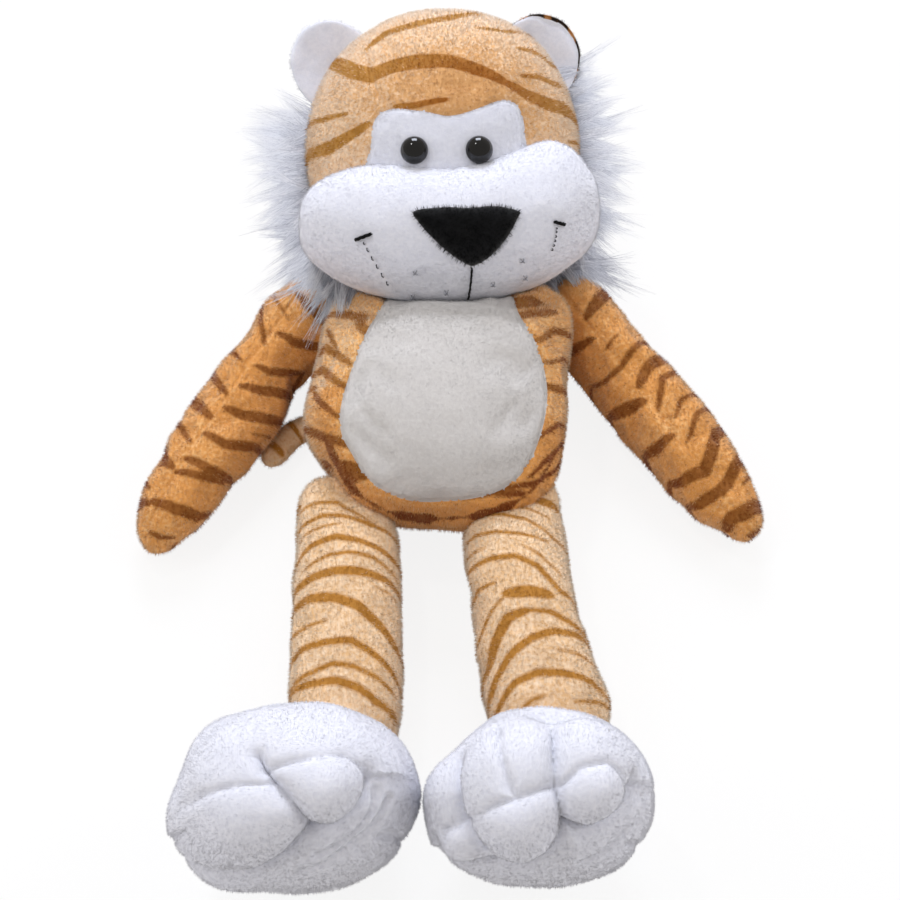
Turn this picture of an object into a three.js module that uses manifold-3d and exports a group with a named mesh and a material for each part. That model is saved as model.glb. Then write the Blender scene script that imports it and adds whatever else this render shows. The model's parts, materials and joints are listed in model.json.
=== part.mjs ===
// A plush tiger that lies on its back: sewn plush covers, each over its own fibre filling.
// Millimetres, +Z up. The head points to +Y, the feet to -Y, and the face looks up.
// The origin is the middle of the toy's bounding box, on the surface that it lies on.
// Left and right are as seen from above, so the left arm is the one at -X.
import * as THREE from "three";
import { mergeVertices } from "three/addons/utils/BufferGeometryUtils.js";
import Module from "manifold-3d";

const wasm = await Module();
wasm.setup();
const radians = THREE.MathUtils.degToRad;
const degrees = THREE.MathUtils.radToDeg;
const quarterTurn = 90; // degrees
const halfTurn = quarterTurn + quarterTurn;

// Cloth, clearances and facets
const coverWall = 2.6; // plush cloth with its pile lying flat
const gap = 0.3; // between any two pieces
const restFlat = 0.5; // how deep a soft form is pressed flat by the surface under it
const overrun = 200; // how far a cutting solid runs past what it cuts
const outerFacets = { rings: 11, sides: 18 };
const innerFacets = { rings: 7, sides: 14 };
const flatFacets = { arc: 8 };

// The body: a pillow, boxy at the shoulders and widest low down
const torso = {
  length: 100,
  rootShare: 0.36,
  halfWidth: 46.5,
  halfDepth: 30,
  startRoundness: 3.6,
  endRoundness: 6,
  widthShares: [0.95, 1, 1, 0.98, 0.97, 0.98],
  depthShares: [0.82, 0.94, 1, 1, 0.97, 0.94],
};
const torsoAside = 0.5;
const torsoTilt = 5; // degrees that its neck end is raised
const torsoLean = -7; // degrees that its neck end leans to +X
const neckRadius = 14; // of the opening that joins the fillings of body and head

// The belly panel is let into the front, and its outline is drawn square to bellyView
const belly = { halfWidth: 35, top: 60, bottom: 37, aside: 2 };
const bellyView = 34; // degrees that the outline's view leans to the feet
const bellyShares = [
  [-0.56, 1],
  [-0.86, 0.66],
  [-1, 0.18],
  [-0.95, -0.3],
  [-0.72, -0.78],
  [-0.24, -1],
  [0.3, -0.97],
  [0.74, -0.72],
  [0.97, -0.26],
  [0.99, 0.2],
  [0.86, 0.68],
  [0.66, 1],
];

// The head: a ball a little wider than deep, nodding towards the chest
const head = {
  length: 101,
  rootShare: 0.5,
  halfWidth: 52,
  halfDepth: 46,
  startRoundness: 2.1,
  endRoundness: 2.25,
  widthShares: [0.98, 1, 1, 0.98, 0.97],
  depthShares: [0.96, 1, 1, 0.98, 0.95],
};
const headForward = 113; // from the body's middle to the head's
const headAside = 3;
const headNod = 30; // degrees
const headTurn = 3;
const headRoll = 3;

// The muzzle: a wide bean across the lower face, higher at both cheeks
const muzzle = {
  length: 109,
  rootShare: 0.5,
  halfWidth: 27,
  halfDepth: 28,
  startRoundness: 2.7,
  endRoundness: 2.7,
  widthShares: [0.9, 0.97, 1, 0.97, 0.94],
  depthShares: [0.84, 0.96, 1, 0.96, 0.84],
  sideShift: -6,
  sideShares: [1, 0.4, 0, 0.4, 1],
};
const muzzleDrop = 37; // below the head's middle
const muzzleOut = 30; // in front of the head's middle
const muzzleAside = 1;
const muzzleRoll = 3; // degrees

// The face: an inset patch, two eyes on stems, a padded nose and embroidery
const eyePatch = { halfWidth: 27, halfHeight: 15, drop: 6.5 };
const patchShares = [
  [-0.96, -1],
  [-1, 0.1],
  [-0.88, 0.84],
  [-0.62, 1],
  [-0.3, 0.8],
  [0, 0.7],
  [0.32, 0.84],
  [0.68, 1.12],
  [0.92, 0.94],
  [1, 0.2],
  [0.94, -1],
];
const eye = { radius: 5, height: 4.6, apart: 23, aside: -1.5, drop: 9.5, stemRadius: 1.5, stemLength: 9 };
const washer = { radius: 5.5, thickness: 1.4, sink: 2.6 };
const nose = { halfWidth: 17.8, height: 19, top: 4.5, thickness: 2.4, aside: 4.4 };
const noseShares = [
  [-1, 1],
  [-0.5, 1.03],
  [0, 0.98],
  [0.5, 1.04],
  [1, 0.97],
  [0.86, 0.7],
  [0.14, 0.06],
  [0, 0],
  [-0.14, 0.06],
  [-0.86, 0.7],
]; // across, of the half width, and up from the tip, of the height
const thread = { radius: 0.55, sides: 5, turns: 7 };
const mouth = { start: 1.5, length: 10.5 };
const stitchAside = 1.2; // of the embroidery's middle from the muzzle's
const stitchRoom = 2.5; // that the chest leaves for what is sewn on the chin
const smile = { outShare: 0.6055, inShare: 0.422, drop: 4, length: 15 };
const smileBowShare = 0.62; // of the way out, at half height
const cheekBar = { halfLength: 3, rise: 1, outShare: 0.62385, drop: 3.4 };
const whisker = { radius: 0.75, sides: 6, rings: 4 };
const whiskerShares = [
  [0.31, 0.56],
  [0.13, 0.78],
  [0.34, 0.8],
]; // across and down, of the muzzle's half length and half width

// Ears: a white front and a striped back, each a shallow dish
const ear = { halfWidth: 16, halfHeight: 18, dish: 6, panel: 2.6, out: 40, up: 33.5, back: 3, aside: -1.5 };
const earCant = 24; // degrees that it leans away from the middle
const earSides = 16;

// Ruffs: long fur sewn in along each side of the head
const ruff = {
  length: 84,
  rootShare: 0.5,
  halfWidth: 16,
  halfDepth: 8,
  startRoundness: 2,
  endRoundness: 2,
  widthShares: [0.8, 1, 1, 0.9, 0.8],
  depthShares: [0.8, 1, 1, 1, 0.9],
};
const ruffOut = 52;
const ruffDrop = 10;
const ruffFacets = { rings: 7, sides: 10 };

// Arms: tubes that taper to the paw, folded along the seam across each shoulder
const arm = {
  length: 126,
  rootShare: 0,
  halfWidth: 15,
  halfDepth: 14,
  startRoundness: 4,
  endRoundness: 2.6,
  widthShares: [1.08, 1.03, 1, 0.98, 0.93, 0.84],
  depthShares: [0.9, 0.98, 1, 1, 0.95, 0.88],
};
const shoulder = { aside: 1.8, inset: 2.5, forward: 68 }; // inset from the body's side
const turningHole = 4.5; // where each limb was stuffed, under its seam to the body
const armSlope = 5; // degrees down to the paw
const armSpread = { left: 28.5, right: 33 }; // degrees from the body's length

// Legs: long soft tubes, folded along the crease in front of each hip
const leg = {
  length: 104,
  rootShare: 0,
  halfWidth: 18,
  halfDepth: 17.5,
  startRoundness: 3,
  endRoundness: 4,
  widthShares: [0.98, 1, 0.99, 1.02, 1.08, 1.14],
  depthShares: [1, 1, 0.98, 0.98, 1, 1],
};
const hip = { out: 27.5, aside: -2.5, forward: -20 };
const legSlope = 3.5; // degrees down to the foot

// Feet: big round shoes, each with three toes over a sole, folded along the heel
const foot = {
  length: 78,
  rootShare: 0.5,
  halfWidth: 35.5,
  halfDepth: 29,
  startRoundness: 2.3,
  endRoundness: 2.4,
  widthShares: [0.9, 1, 1, 1, 0.94],
  depthShares: [0.92, 1, 1, 0.96, 0.86],
};
const footPose = {
  left: { x: -39.5, y: -147, loll: -15, point: 18, ankle: -29 },
  right: { x: 34, y: -148, loll: -9, point: 20, ankle: 42 },
}; // loll and point are degrees
const footFacets = { rings: 9, sides: 16 };
const toe = {
  length: 38,
  rootShare: 0.5,
  halfWidth: 13.5,
  halfDepth: 14,
  startRoundness: 2.2,
  endRoundness: 2.2,
  widthShares: [0.94, 1, 1, 1, 0.94],
  depthShares: [0.94, 1, 1, 1, 0.94],
};
const toeFacets = { rings: 6, sides: 10 };
const toePitch = 22; // between the middles of two toes
const toeRise = 4; // how far the middle toe stands out past the others
const toeSink = 14; // of the toes' middles under the foot's end
const toeBack = 2; // of the toes towards the sole
const sole = { thickness: 2.6, inset: 8 };

// The tail: pressed under the body, with its tip hooked out beside it
const tail = { length: 57, halfWidth: 5.8, halfDepth: 4.6, rootX: -8, rootY: -4 };
const tailShares = [
  [0, 0],
  [-0.23, 0.2],
  [-0.5, 0.32],
  [-0.72, 0.25],
  [-0.9, 0],
];
const tailFacets = { rings: 12, sides: 8 };
const tailEndShare = 0.12; // of the length, rounded at each end
const tailSwings = [0, 2, 4, 8, 12, 18, 26, 40, 60]; // degrees down, that its groove leaves room for

const colours = {
  tigerPlush: 0xe8b078,
  darkPlush: 0x5a3a1c,
  legPlush: 0xf2cfa4,
  whitePlush: 0xf1f1f6,
  creamPlush: 0xe9e6e0,
  nosePlush: 0x0b0d12,
  eyePlastic: 0x08080a,
  washerPlastic: 0xe6e6e0,
  blackThread: 0x101014,
  greyThread: 0x8b90a0,
  fibreFill: 0xf7f6f2,
  longFur: 0xf4f4fa,
};
const clothRoughness = 0.95;
const roughnessOf = { eyePlastic: 0.08, washerPlastic: 0.4 };

function finish(name) {
  const roughness = roughnessOf[name] ?? clothRoughness;
  return new THREE.MeshStandardMaterial({ color: colours[name], roughness, metalness: 0 });
}

// Solids from geometry, and geometry from solids
function solidOf(geometry, matrix) {
  const placed = geometry.clone().applyMatrix4(matrix);
  placed.deleteAttribute("normal");
  placed.deleteAttribute("uv");
  const merged = mergeVertices(placed);
  return new wasm.Manifold(
    new wasm.Mesh({
      numProp: 3,
      vertProperties: merged.attributes.position.array,
      triVerts: new Uint32Array(merged.index.array),
    }),
  );
}

function geometryOf(solid) {
  const mesh = solid.getMesh();
  const places = new Float32Array(mesh.numVert * 3);
  for (let i = 0; i < mesh.numVert; i++) {
    const start = i * mesh.numProp;
    places.set(mesh.vertProperties.subarray(start, start + 3), i * 3);
  }
  const geometry = new THREE.BufferGeometry();
  geometry.setAttribute("position", new THREE.BufferAttribute(places, 3));
  geometry.setIndex(new THREE.BufferAttribute(mesh.triVerts, 1));
  geometry.computeVertexNormals();
  return geometry;
}

function at(x, y, z, turnX = 0, turnY = 0, turnZ = 0) {
  const turn = new THREE.Euler(radians(turnX), radians(turnY), radians(turnZ), "ZYX");
  return new THREE.Matrix4().makeRotationFromEuler(turn).setPosition(x, y, z);
}

// A value between equally spaced shares, along a smooth curve
function shareAt(shares, t) {
  const points = shares.map((share, i) => new THREE.Vector2(i, share));
  return new THREE.SplineCurve(points).getPoint(t).y;
}

// How far a form has swelled out of its round end at t, from 0 at the pole to 1 at the middle
function endShare(size, t) {
  const roundness = t < 1 / 2 ? size.startRoundness : size.endRoundness;
  return (1 - Math.abs(2 * t - 1) ** roundness) ** (1 / roundness);
}

// How much of a form's length lies behind its own place
const behind = (size) => size.length * size.rootShare;

// The section of a soft form at t along it: its place, half width, half depth and side shift
function sectionAt(size, inset, t) {
  const end = endShare(size, t);
  return {
    along: inset - behind(size) + t * (size.length - 2 * inset),
    width: (size.halfWidth * shareAt(size.widthShares, t) - inset) * end,
    depth: (size.halfDepth * shareAt(size.depthShares, t) - inset) * end,
    side: size.sideShift ? size.sideShift * shareAt(size.sideShares, t) : 0,
  };
}

// A closed surface through rings of points between two poles
function skinOver(rings, firstPole, lastPole) {
  const sides = rings[0].length;
  const places = [firstPole, ...rings.flat(), lastPole].flatMap((point) => point.toArray());
  const last = rings.length * sides + 1;
  const faces = [];
  for (let j = 0; j < sides; j++) {
    const k = (j + 1) % sides;
    faces.push(0, 1 + j, 1 + k);
    faces.push(last, last - sides + k, last - sides + j);
    for (let i = 0; i + 1 < rings.length; i++) {
      const low = 1 + i * sides;
      const high = low + sides;
      faces.push(low + j, high + j, high + k, low + j, high + k, low + k);
    }
  }
  const geometry = new THREE.BufferGeometry();
  geometry.setAttribute("position", new THREE.Float32BufferAttribute(places, 3));
  geometry.setIndex(faces);
  return geometry;
}

// A stuffed form along +Y, its width along X and its depth along Z, drawn in by inset
function stuffed(size, inset, facets) {
  const rings = [];
  for (let i = 1; i <= facets.rings; i++) {
    const cut = sectionAt(size, inset, (1 - Math.cos((Math.PI * i) / (facets.rings + 1))) / 2);
    const ring = [];
    for (let j = 0; j < facets.sides; j++) {
      const turn = (2 * Math.PI * j) / facets.sides;
      const x = cut.side + cut.width * Math.cos(turn);
      ring.push(new THREE.Vector3(x, cut.along, cut.depth * Math.sin(turn)));
    }
    rings.push(ring);
  }
  const pole = (cut) => new THREE.Vector3(cut.side, cut.along, 0);
  return skinOver(rings, pole(sectionAt(size, inset, 0)), pole(sectionAt(size, inset, 1)));
}

// How high a form's middle stands when it rests on the floor, pressed flat by restFlat
function restingHeight(geometry, turns) {
  return -restFlat - solidOf(geometry, at(0, 0, 0, ...turns)).boundingBox().min[2];
}

const facetsFor = (inset) => (inset > gap ? innerFacets : outerFacets);
const middle = new THREE.Matrix4();
const upward = new THREE.Vector3(0, 0, 1);
const floor = solidOf(
  new THREE.BoxGeometry(overrun + overrun, overrun + overrun, overrun),
  at(0, 0, -overrun / 2),
);
const wideFloor = floor.add(floor.translate([0, -overrun, 0])).add(floor.translate([0, overrun, 0]));

// A prism through everything, from an outline drawn across the axis that place turns up
function prism(outline, place) {
  const shape = new THREE.ExtrudeGeometry(new THREE.Shape(outline), {
    depth: overrun,
    bevelEnabled: false,
    curveSegments: flatFacets.arc,
  });
  return solidOf(shape, place);
}

// A rod along its place's +Z, from the place's own point up
function rod(radius, length, place, segments = innerFacets.sides) {
  const shape = new THREE.CylinderGeometry(radius, radius, length, segments);
  shape.rotateX(Math.PI / 2).translate(0, 0, length / 2);
  return solidOf(shape, place);
}

// Each form as a function of its inset. A negative inset makes a cutter.
const torsoTurns = [torsoTilt, 0, torsoLean];
const torsoHeight = restingHeight(stuffed(torso, 0, outerFacets), torsoTurns);
const torsoPlace = at(torsoAside, 0, torsoHeight, ...torsoTurns);
const torsoForm = (inset) => solidOf(stuffed(torso, inset, facetsFor(inset)), torsoPlace);

const headTurns = [headNod, headTurn, headRoll];
const headHeight = restingHeight(stuffed(head, 0, outerFacets), headTurns);
const headPlace = at(headAside, headForward, headHeight, ...headTurns);
const headForm = (inset) => solidOf(stuffed(head, inset, facetsFor(inset)), headPlace);

// The muzzle's own length runs across the face, so it is turned a quarter
const muzzleInHead = at(muzzleAside, -muzzleDrop, muzzleOut, 0, 0, muzzleRoll - quarterTurn);
const muzzlePlace = headPlace.clone().multiply(muzzleInHead);
const muzzleForm = (inset) => solidOf(stuffed(muzzle, inset, facetsFor(inset)), muzzlePlace);

const sideSign = { left: -1, right: 1 };
const sides = Object.keys(sideSign);

// A limb rests on the floor, and slopes down from its root by a few degrees
function limbPlace(size, x, y, slope, turn) {
  const turns = [-slope, 0, halfTurn + turn];
  return at(x, y, restingHeight(stuffed(size, 0, outerFacets), turns), ...turns);
}

function armPlace(side) {
  const x = shoulder.aside + sideSign[side] * (torso.halfWidth - shoulder.inset);
  return limbPlace(arm, x, shoulder.forward, armSlope, sideSign[side] * armSpread[side]);
}
const armForm = (side) => (inset) =>
  solidOf(stuffed(arm, inset, facetsFor(inset)), armPlace(side));

const footTurns = (side) => [footPose[side].point, footPose[side].loll, 0];

// The foot's own length runs from heel to toe along its local Z, and the sole faces -Y
const footBody = (inset) =>
  stuffed(foot, inset, inset > gap ? innerFacets : footFacets).rotateX(Math.PI / 2);

function footPlace(side) {
  const pose = footPose[side];
  const height = restingHeight(footBody(0), footTurns(side));
  return at(pose.x, pose.y, height, ...footTurns(side));
}

// The toes are sewn into the upper, and the filling inside is plain
function footForm(side) {
  const place = footPlace(side);
  return (inset) => {
    let whole = solidOf(footBody(inset), place);
    if (inset > gap) return whole;
    for (const row of [-1, 0, 1]) {
      const rise = foot.length - behind(foot) - toeSink + toeRise * (1 - Math.abs(row));
      const local = place.clone().multiply(at(row * toePitch, -toeBack, rise));
      whole = whole.add(solidOf(stuffed(toe, inset, toeFacets), local));
    }
    return whole;
  };
}

const hipX = (side) => hip.aside + sideSign[side] * hip.out;
function legPlace(side) {
  const pose = footPose[side];
  const turn = degrees(Math.atan2(pose.ankle - hipX(side), hip.forward - pose.y));
  return limbPlace(leg, hipX(side), hip.forward, legSlope, turn);
}
const legForm = (side) => (inset) =>
  solidOf(stuffed(leg, inset, facetsFor(inset)), legPlace(side));

// The tail's rings follow its route over the floor, and stay upright
function tailForm(inset, place = middle) {
  const height = tail.halfDepth - restFlat;
  const points = tailShares.map(([x, y]) => {
    const [aside, forward] = [tail.rootX + x * tail.length, tail.rootY + y * tail.length];
    return new THREE.Vector3(aside, forward, height);
  });
  const route = new THREE.CatmullRomCurve3(points);
  const drawnIn = (t) =>
    route.getPointAt(t).addScaledVector(route.getTangentAt(t), inset * (1 - 2 * t));
  const rings = [];
  for (let i = 1; i <= tailFacets.rings; i++) {
    const t = (1 - Math.cos((Math.PI * i) / (tailFacets.rings + 1))) / 2;
    const nearEnd = Math.min(1, t / tailEndShare, (1 - t) / tailEndShare);
    const swell = Math.sqrt(1 - (1 - nearEnd) ** 2);
    const across = route.getTangentAt(t).cross(upward).normalize();
    rings.push(tailRing(drawnIn(t), across, swell, inset));
  }
  return solidOf(skinOver(rings, drawnIn(0), drawnIn(1)), place);
}

function tailRing(point, across, swell, inset) {
  const ring = [];
  for (let j = 0; j < tailFacets.sides; j++) {
    const turn = (2 * Math.PI * j) / tailFacets.sides;
    const out = (tail.halfWidth - inset) * swell * Math.cos(turn);
    const up = new THREE.Vector3(0, 0, (tail.halfDepth - inset) * swell * Math.sin(turn));
    ring.push(point.clone().addScaledVector(across, out).add(up));
  }
  return ring;
}

// The groove that the tail presses into the back, and folds down out of about its root's end
function tailGroove() {
  const root = at(tail.rootX, tail.rootY, 0);
  const [x, y] = tailShares[1];
  const across = new THREE.Vector3(-y, x, 0).normalize();
  return tailSwings.map((swing) => {
    const turn = new THREE.Matrix4().makeRotationAxis(across, radians(swing));
    return tailForm(-gap, root.clone().multiply(turn).multiply(root.clone().invert()));
  });
}

// A place on a form's front, turned so that its Z points out of the cloth
function surfacePoint(size, x, y) {
  const cut = sectionAt(size, 0, (y + behind(size)) / size.length);
  const offset = THREE.MathUtils.clamp((x - cut.side) / cut.width, -1, 1);
  return new THREE.Vector3(x, y, cut.depth * Math.sqrt(1 - offset ** 2));
}

function seatOn(size, place, x, y) {
  const here = surfacePoint(size, x, y);
  const right = surfacePoint(size, x + gap, y).sub(here).normalize();
  const ahead = surfacePoint(size, x, y + gap).sub(here);
  const out = right.clone().cross(ahead).normalize();
  const seat = new THREE.Matrix4().makeBasis(right, out.clone().cross(right), out);
  return place.clone().multiply(seat.setPosition(here));
}

// Places on the muzzle's front, measured across and down from its middle
const onMuzzle = (across, down) => seatOn(muzzle, muzzlePlace, down, across);
const muzzleFace = muzzlePlace.clone().multiply(at(0, 0, 0, 0, 0, quarterTurn));

// Every larger form, drawn out by the gap, cuts the smaller ones that press on it
const around = (form) => form(-gap);
const carve = (solid, ...cutters) => cutters.reduce((rest, cutter) => rest.subtract(cutter), solid);
const coverOf = (form) => carve(form(0), form(coverWall), wideFloor);
const fillingOf = (form) => form(coverWall + gap);

// The neck's opening, from the body's middle to the head's
function neckRod() {
  const start = new THREE.Vector3().setFromMatrixPosition(torsoPlace);
  const end = new THREE.Vector3().setFromMatrixPosition(headPlace);
  const line = end.clone().sub(start);
  const along = line.clone().normalize();
  const turn = new THREE.Quaternion().setFromUnitVectors(upward, along);
  const place = new THREE.Matrix4().makeRotationFromQuaternion(turn).setPosition(start);
  return rod(neckRadius, line.length(), place);
}

// An outline from its shares, drawn in all round by inset
function outlineOf(shares, halfWidth, up, down, aside, inset) {
  return shares.map(([x, y]) => {
    const reach = y > 0 ? up - inset : down - inset;
    return new THREE.Vector2(aside + x * (halfWidth - inset), y * reach);
  });
}

function bodyPieces() {
  const pressedBy = [around(headForm), muzzleForm(-stitchRoom), ...tailGroove()];
  const view = torsoPlace.clone().multiply(at(0, 0, 0, bellyView, 0, 0));
  const { halfWidth, top, bottom, aside } = belly;
  const window = (inset) =>
    prism(outlineOf(bellyShares, halfWidth, top, bottom, aside, inset), view);
  const cover = carve(coverOf(torsoForm), neckRod(), ...pressedBy);
  return {
    body_cover: [cover.subtract(window(0)), "tigerPlush"],
    belly_panel: [cover.intersect(window(gap)), "creamPlush"],
    body_filling: [carve(fillingOf(torsoForm), ...pressedBy), "fibreFill"],
  };
}

// The eyes' places on the head, with Z out along each stem
function eyePlaces() {
  const places = {};
  for (const side of sides)
    places[side] = seatOn(head, headPlace, eye.aside + (sideSign[side] * eye.apart) / 2, -eye.drop);
  return places;
}

function eyePiece(place) {
  const profile = [
    new THREE.Vector2(0, -eye.stemLength),
    new THREE.Vector2(eye.stemRadius, -eye.stemLength),
    new THREE.Vector2(eye.stemRadius, gap),
    new THREE.Vector2(eye.radius, gap),
  ];
  const arcs = flatFacets.arc / 2;
  for (let i = 1; i < arcs; i++) {
    const turn = (Math.PI * i) / (2 * arcs);
    profile.push(new THREE.Vector2(eye.radius * Math.cos(turn), gap + eye.height * Math.sin(turn)));
  }
  profile.push(new THREE.Vector2(0, gap + eye.height));
  return solidOf(new THREE.LatheGeometry(profile, outerFacets.sides).rotateX(Math.PI / 2), place);
}

// The washer's top lies under the cloth, and sinks with the cloth's curve
const washerTop = -(coverWall + gap + washer.sink);
function washerPiece(place) {
  const hole = eye.stemRadius + gap;
  const low = washerTop - washer.thickness;
  const profile = [
    [hole, low],
    [washer.radius, low],
    [washer.radius, washerTop],
    [hole, washerTop],
    [hole, low],
  ].map(([radius, height]) => new THREE.Vector2(radius, height));
  return solidOf(new THREE.LatheGeometry(profile, innerFacets.sides).rotateX(Math.PI / 2), place);
}

function washerPocket(place) {
  const low = place.clone().multiply(at(0, 0, washerTop - washer.thickness - gap));
  return rod(washer.radius + gap, washer.thickness + coverWall + eye.stemLength, low);
}

function stemHole(place) {
  const low = place.clone().multiply(at(0, 0, -eye.stemLength - gap));
  return rod(eye.stemRadius + gap, eye.stemLength + eye.radius, low);
}

// The room that an eye's dome takes, out of the muzzle that laps over it
function eyeRoom(place) {
  const reach = eye.radius + gap + gap;
  return solidOf(new THREE.SphereGeometry(reach, outerFacets.sides, flatFacets.arc), place);
}

function headPieces(eyes) {
  const pressedBy = [muzzleForm(coverWall)];
  const holes = Object.values(eyes).map(stemHole);
  const pockets = Object.values(eyes).map(washerPocket);
  const { halfWidth, halfHeight } = eyePatch;
  const patchPlace = headPlace.clone().multiply(at(0, -eyePatch.drop, 0));
  const window = (inset) =>
    prism(outlineOf(patchShares, halfWidth, halfHeight, halfHeight, 0, inset), patchPlace);
  const cover = carve(coverOf(headForm), neckRod(), ...pressedBy);
  return {
    head_cover: [cover.subtract(window(0)), "tigerPlush"],
    eye_patch: [carve(cover.intersect(window(gap)), muzzleForm(-gap), ...holes), "whitePlush"],
    head_filling: [carve(fillingOf(headForm), ...holes, ...pockets), "fibreFill"],
    eye_left: [eyePiece(eyes.left), "eyePlastic"],
    eye_right: [eyePiece(eyes.right), "eyePlastic"],
    eye_washer_left: [washerPiece(eyes.left), "washerPlastic"],
    eye_washer_right: [washerPiece(eyes.right), "washerPlastic"],
  };
}

function muzzlePieces(eyes) {
  const rooms = Object.values(eyes).map(eyeRoom);
  const tip = at(nose.aside, nose.top - nose.height, 0);
  const outline = outlineOf(noseShares, nose.halfWidth, nose.height, nose.height, 0, 0);
  const pad = carve(muzzleForm(-nose.thickness), around(muzzleForm));
  return {
    muzzle_cover: [carve(coverOf(muzzleForm), around(headForm), ...rooms), "whitePlush"],
    muzzle_filling: [carve(fillingOf(muzzleForm), headForm(coverWall), ...rooms), "fibreFill"],
    nose: [pad.intersect(prism(outline, muzzleFace.clone().multiply(tip))), "nosePlush"],
  };
}

// A thread along points across and down the muzzle, lying on the cloth
function stitch(points, radius) {
  const lift = at(0, 0, radius + gap);
  const route = points.map(([across, down]) =>
    new THREE.Vector3().setFromMatrixPosition(onMuzzle(across, down).multiply(lift)),
  );
  const ring = new THREE.Shape();
  for (let i = 0; i < thread.sides; i++) {
    const turn = (2 * Math.PI * i) / thread.sides;
    const [x, y] = [radius * Math.cos(turn), radius * Math.sin(turn)];
    if (i === 0) ring.moveTo(x, y);
    else ring.lineTo(x, y);
  }
  const path = new THREE.CatmullRomCurve3(route);
  return solidOf(new THREE.ExtrudeGeometry(ring, { steps: thread.turns, extrudePath: path }), middle);
}

const muzzleReach = muzzle.length / 2;
function faceStitches() {
  const tip = nose.height - nose.top;
  const pieces = {};
  const mouthRoute = [0, 1 / 2, 1].map((t) => [nose.aside, tip + mouth.start + t * mouth.length]);
  pieces.mouth_stitch = [stitch(mouthRoute, thread.radius), "blackThread"];
  for (const side of sides) {
    const out = (share, more = 0) => stitchAside + sideSign[side] * (share * muzzleReach + more);
    const bowShare = smile.inShare + (smile.outShare - smile.inShare) * smileBowShare;
    const smileRoute = [
      [out(smile.outShare), smile.drop],
      [out(bowShare), smile.drop + smile.length / 2],
      [out(smile.inShare), smile.drop + smile.length],
    ];
    const barRoute = [
      [out(cheekBar.outShare, cheekBar.halfLength), cheekBar.drop + cheekBar.rise],
      [out(cheekBar.outShare, -cheekBar.halfLength), cheekBar.drop - cheekBar.rise],
    ];
    pieces[`smile_stitch_${side}`] = [stitch(smileRoute, thread.radius), "greyThread"];
    pieces[`cheek_bar_${side}`] = [stitch(barRoute, thread.radius), "blackThread"];
    whiskerShares.forEach(([across, down], i) => {
      const seat = onMuzzle(out(across), down * muzzle.halfWidth);
      const knot = new THREE.SphereGeometry(whisker.radius, whisker.sides, whisker.rings);
      const lifted = seat.multiply(at(0, 0, whisker.radius + gap));
      pieces[`whisker_knot_${side}_${i + 1}`] = [solidOf(knot, lifted), "greyThread"];
    });
  }
  return pieces;
}

// One panel of an ear: a dish whose bowl faces forward, from a given height up
function earPanel(place, start) {
  const lift = (share) => start + ear.dish * share ** 2;
  const radii = [0, 1 / 2, 1];
  const low = radii.map((share) => [share, lift(share)]);
  const high = radii.map((share) => [share, lift(share) + ear.panel]).reverse();
  const profile = [...low, ...high].map(([x, y]) => new THREE.Vector2(x * ear.halfWidth, y));
  const dish = new THREE.LatheGeometry(profile, earSides).rotateX(Math.PI / 2);
  return solidOf(dish.scale(1, ear.halfHeight / ear.halfWidth, 1), place);
}

function earPlace(side) {
  const sign = sideSign[side];
  const local = at(ear.aside + sign * ear.out, ear.up, -ear.back, 0, 0, -sign * earCant);
  return headPlace.clone().multiply(local);
}

// The room that both panels take, out of the fur beside them
function earRoom(side) {
  const low = -ear.panel - gap - gap;
  const high = ear.dish + ear.panel + gap;
  const place = earPlace(side).multiply(at(0, 0, low));
  return rod(ear.halfHeight + gap, high - low, place);
}

function earPieces(side) {
  const place = earPlace(side);
  const trimmed = (start) => carve(earPanel(place, start), around(headForm));
  return {
    [`ear_front_${side}`]: [trimmed(0), "whitePlush"],
    [`ear_back_${side}`]: [trimmed(-ear.panel - gap), "darkPlush"],
  };
}

function ruffPiece(side) {
  const local = at(sideSign[side] * ruffOut, -ruffDrop, 0);
  const fur = solidOf(stuffed(ruff, 0, ruffFacets), headPlace.clone().multiply(local));
  const forms = [headForm, muzzleForm, torsoForm, armForm(side)].map(around);
  return { [`ruff_${side}`]: [carve(fur, ...forms, earRoom(side), wideFloor), "longFur"] };
}

// The hole in a limb's root, at the start of its form
function rootHole(x, y, z, place) {
  const start = place.clone().multiply(at(x, y, z));
  return solidOf(new THREE.SphereGeometry(turningHole, flatFacets.arc, flatFacets.arc), start);
}

function armPieces(side) {
  const form = armForm(side);
  const forms = [torsoForm, muzzleForm, headForm].map(around);
  const hole = rootHole(0, 0, 0, armPlace(side));
  return {
    [`arm_cover_${side}`]: [carve(coverOf(form), ...forms, hole), "tigerPlush"],
    [`arm_filling_${side}`]: [carve(fillingOf(form), ...forms), "fibreFill"],
  };
}

function legPieces(side) {
  const form = legForm(side);
  const forms = [torsoForm, footForm(side)].map(around);
  return {
    [`leg_cover_${side}`]: [carve(coverOf(form), ...forms), "legPlush"],
    [`leg_filling_${side}`]: [carve(fillingOf(form), ...forms), "fibreFill"],
  };
}

// All that lies further out than a flat plane square to the foot's sole
function beyondSole(place, depth) {
  const block = new THREE.BoxGeometry(overrun, overrun, overrun);
  return solidOf(block, place.clone().multiply(at(0, -depth - overrun / 2, 0)));
}

function footPieces(side) {
  const form = footForm(side);
  const place = footPlace(side);
  const flat = foot.halfDepth - sole.inset;
  const shift = gap + sole.thickness;
  const body = solidOf(footBody(0), place.clone().multiply(at(0, -shift, 0)));
  const panel = carve(body.intersect(beyondSole(place, flat + gap)), beyondSole(place, flat + shift));
  return {
    [`foot_upper_${side}`]: [carve(coverOf(form), beyondSole(place, flat)), "whitePlush"],
    [`foot_sole_${side}`]: [carve(panel, wideFloor), "whitePlush"],
    [`foot_filling_${side}`]: [carve(fillingOf(form), beyondSole(place, flat)), "fibreFill"],
  };
}

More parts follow.
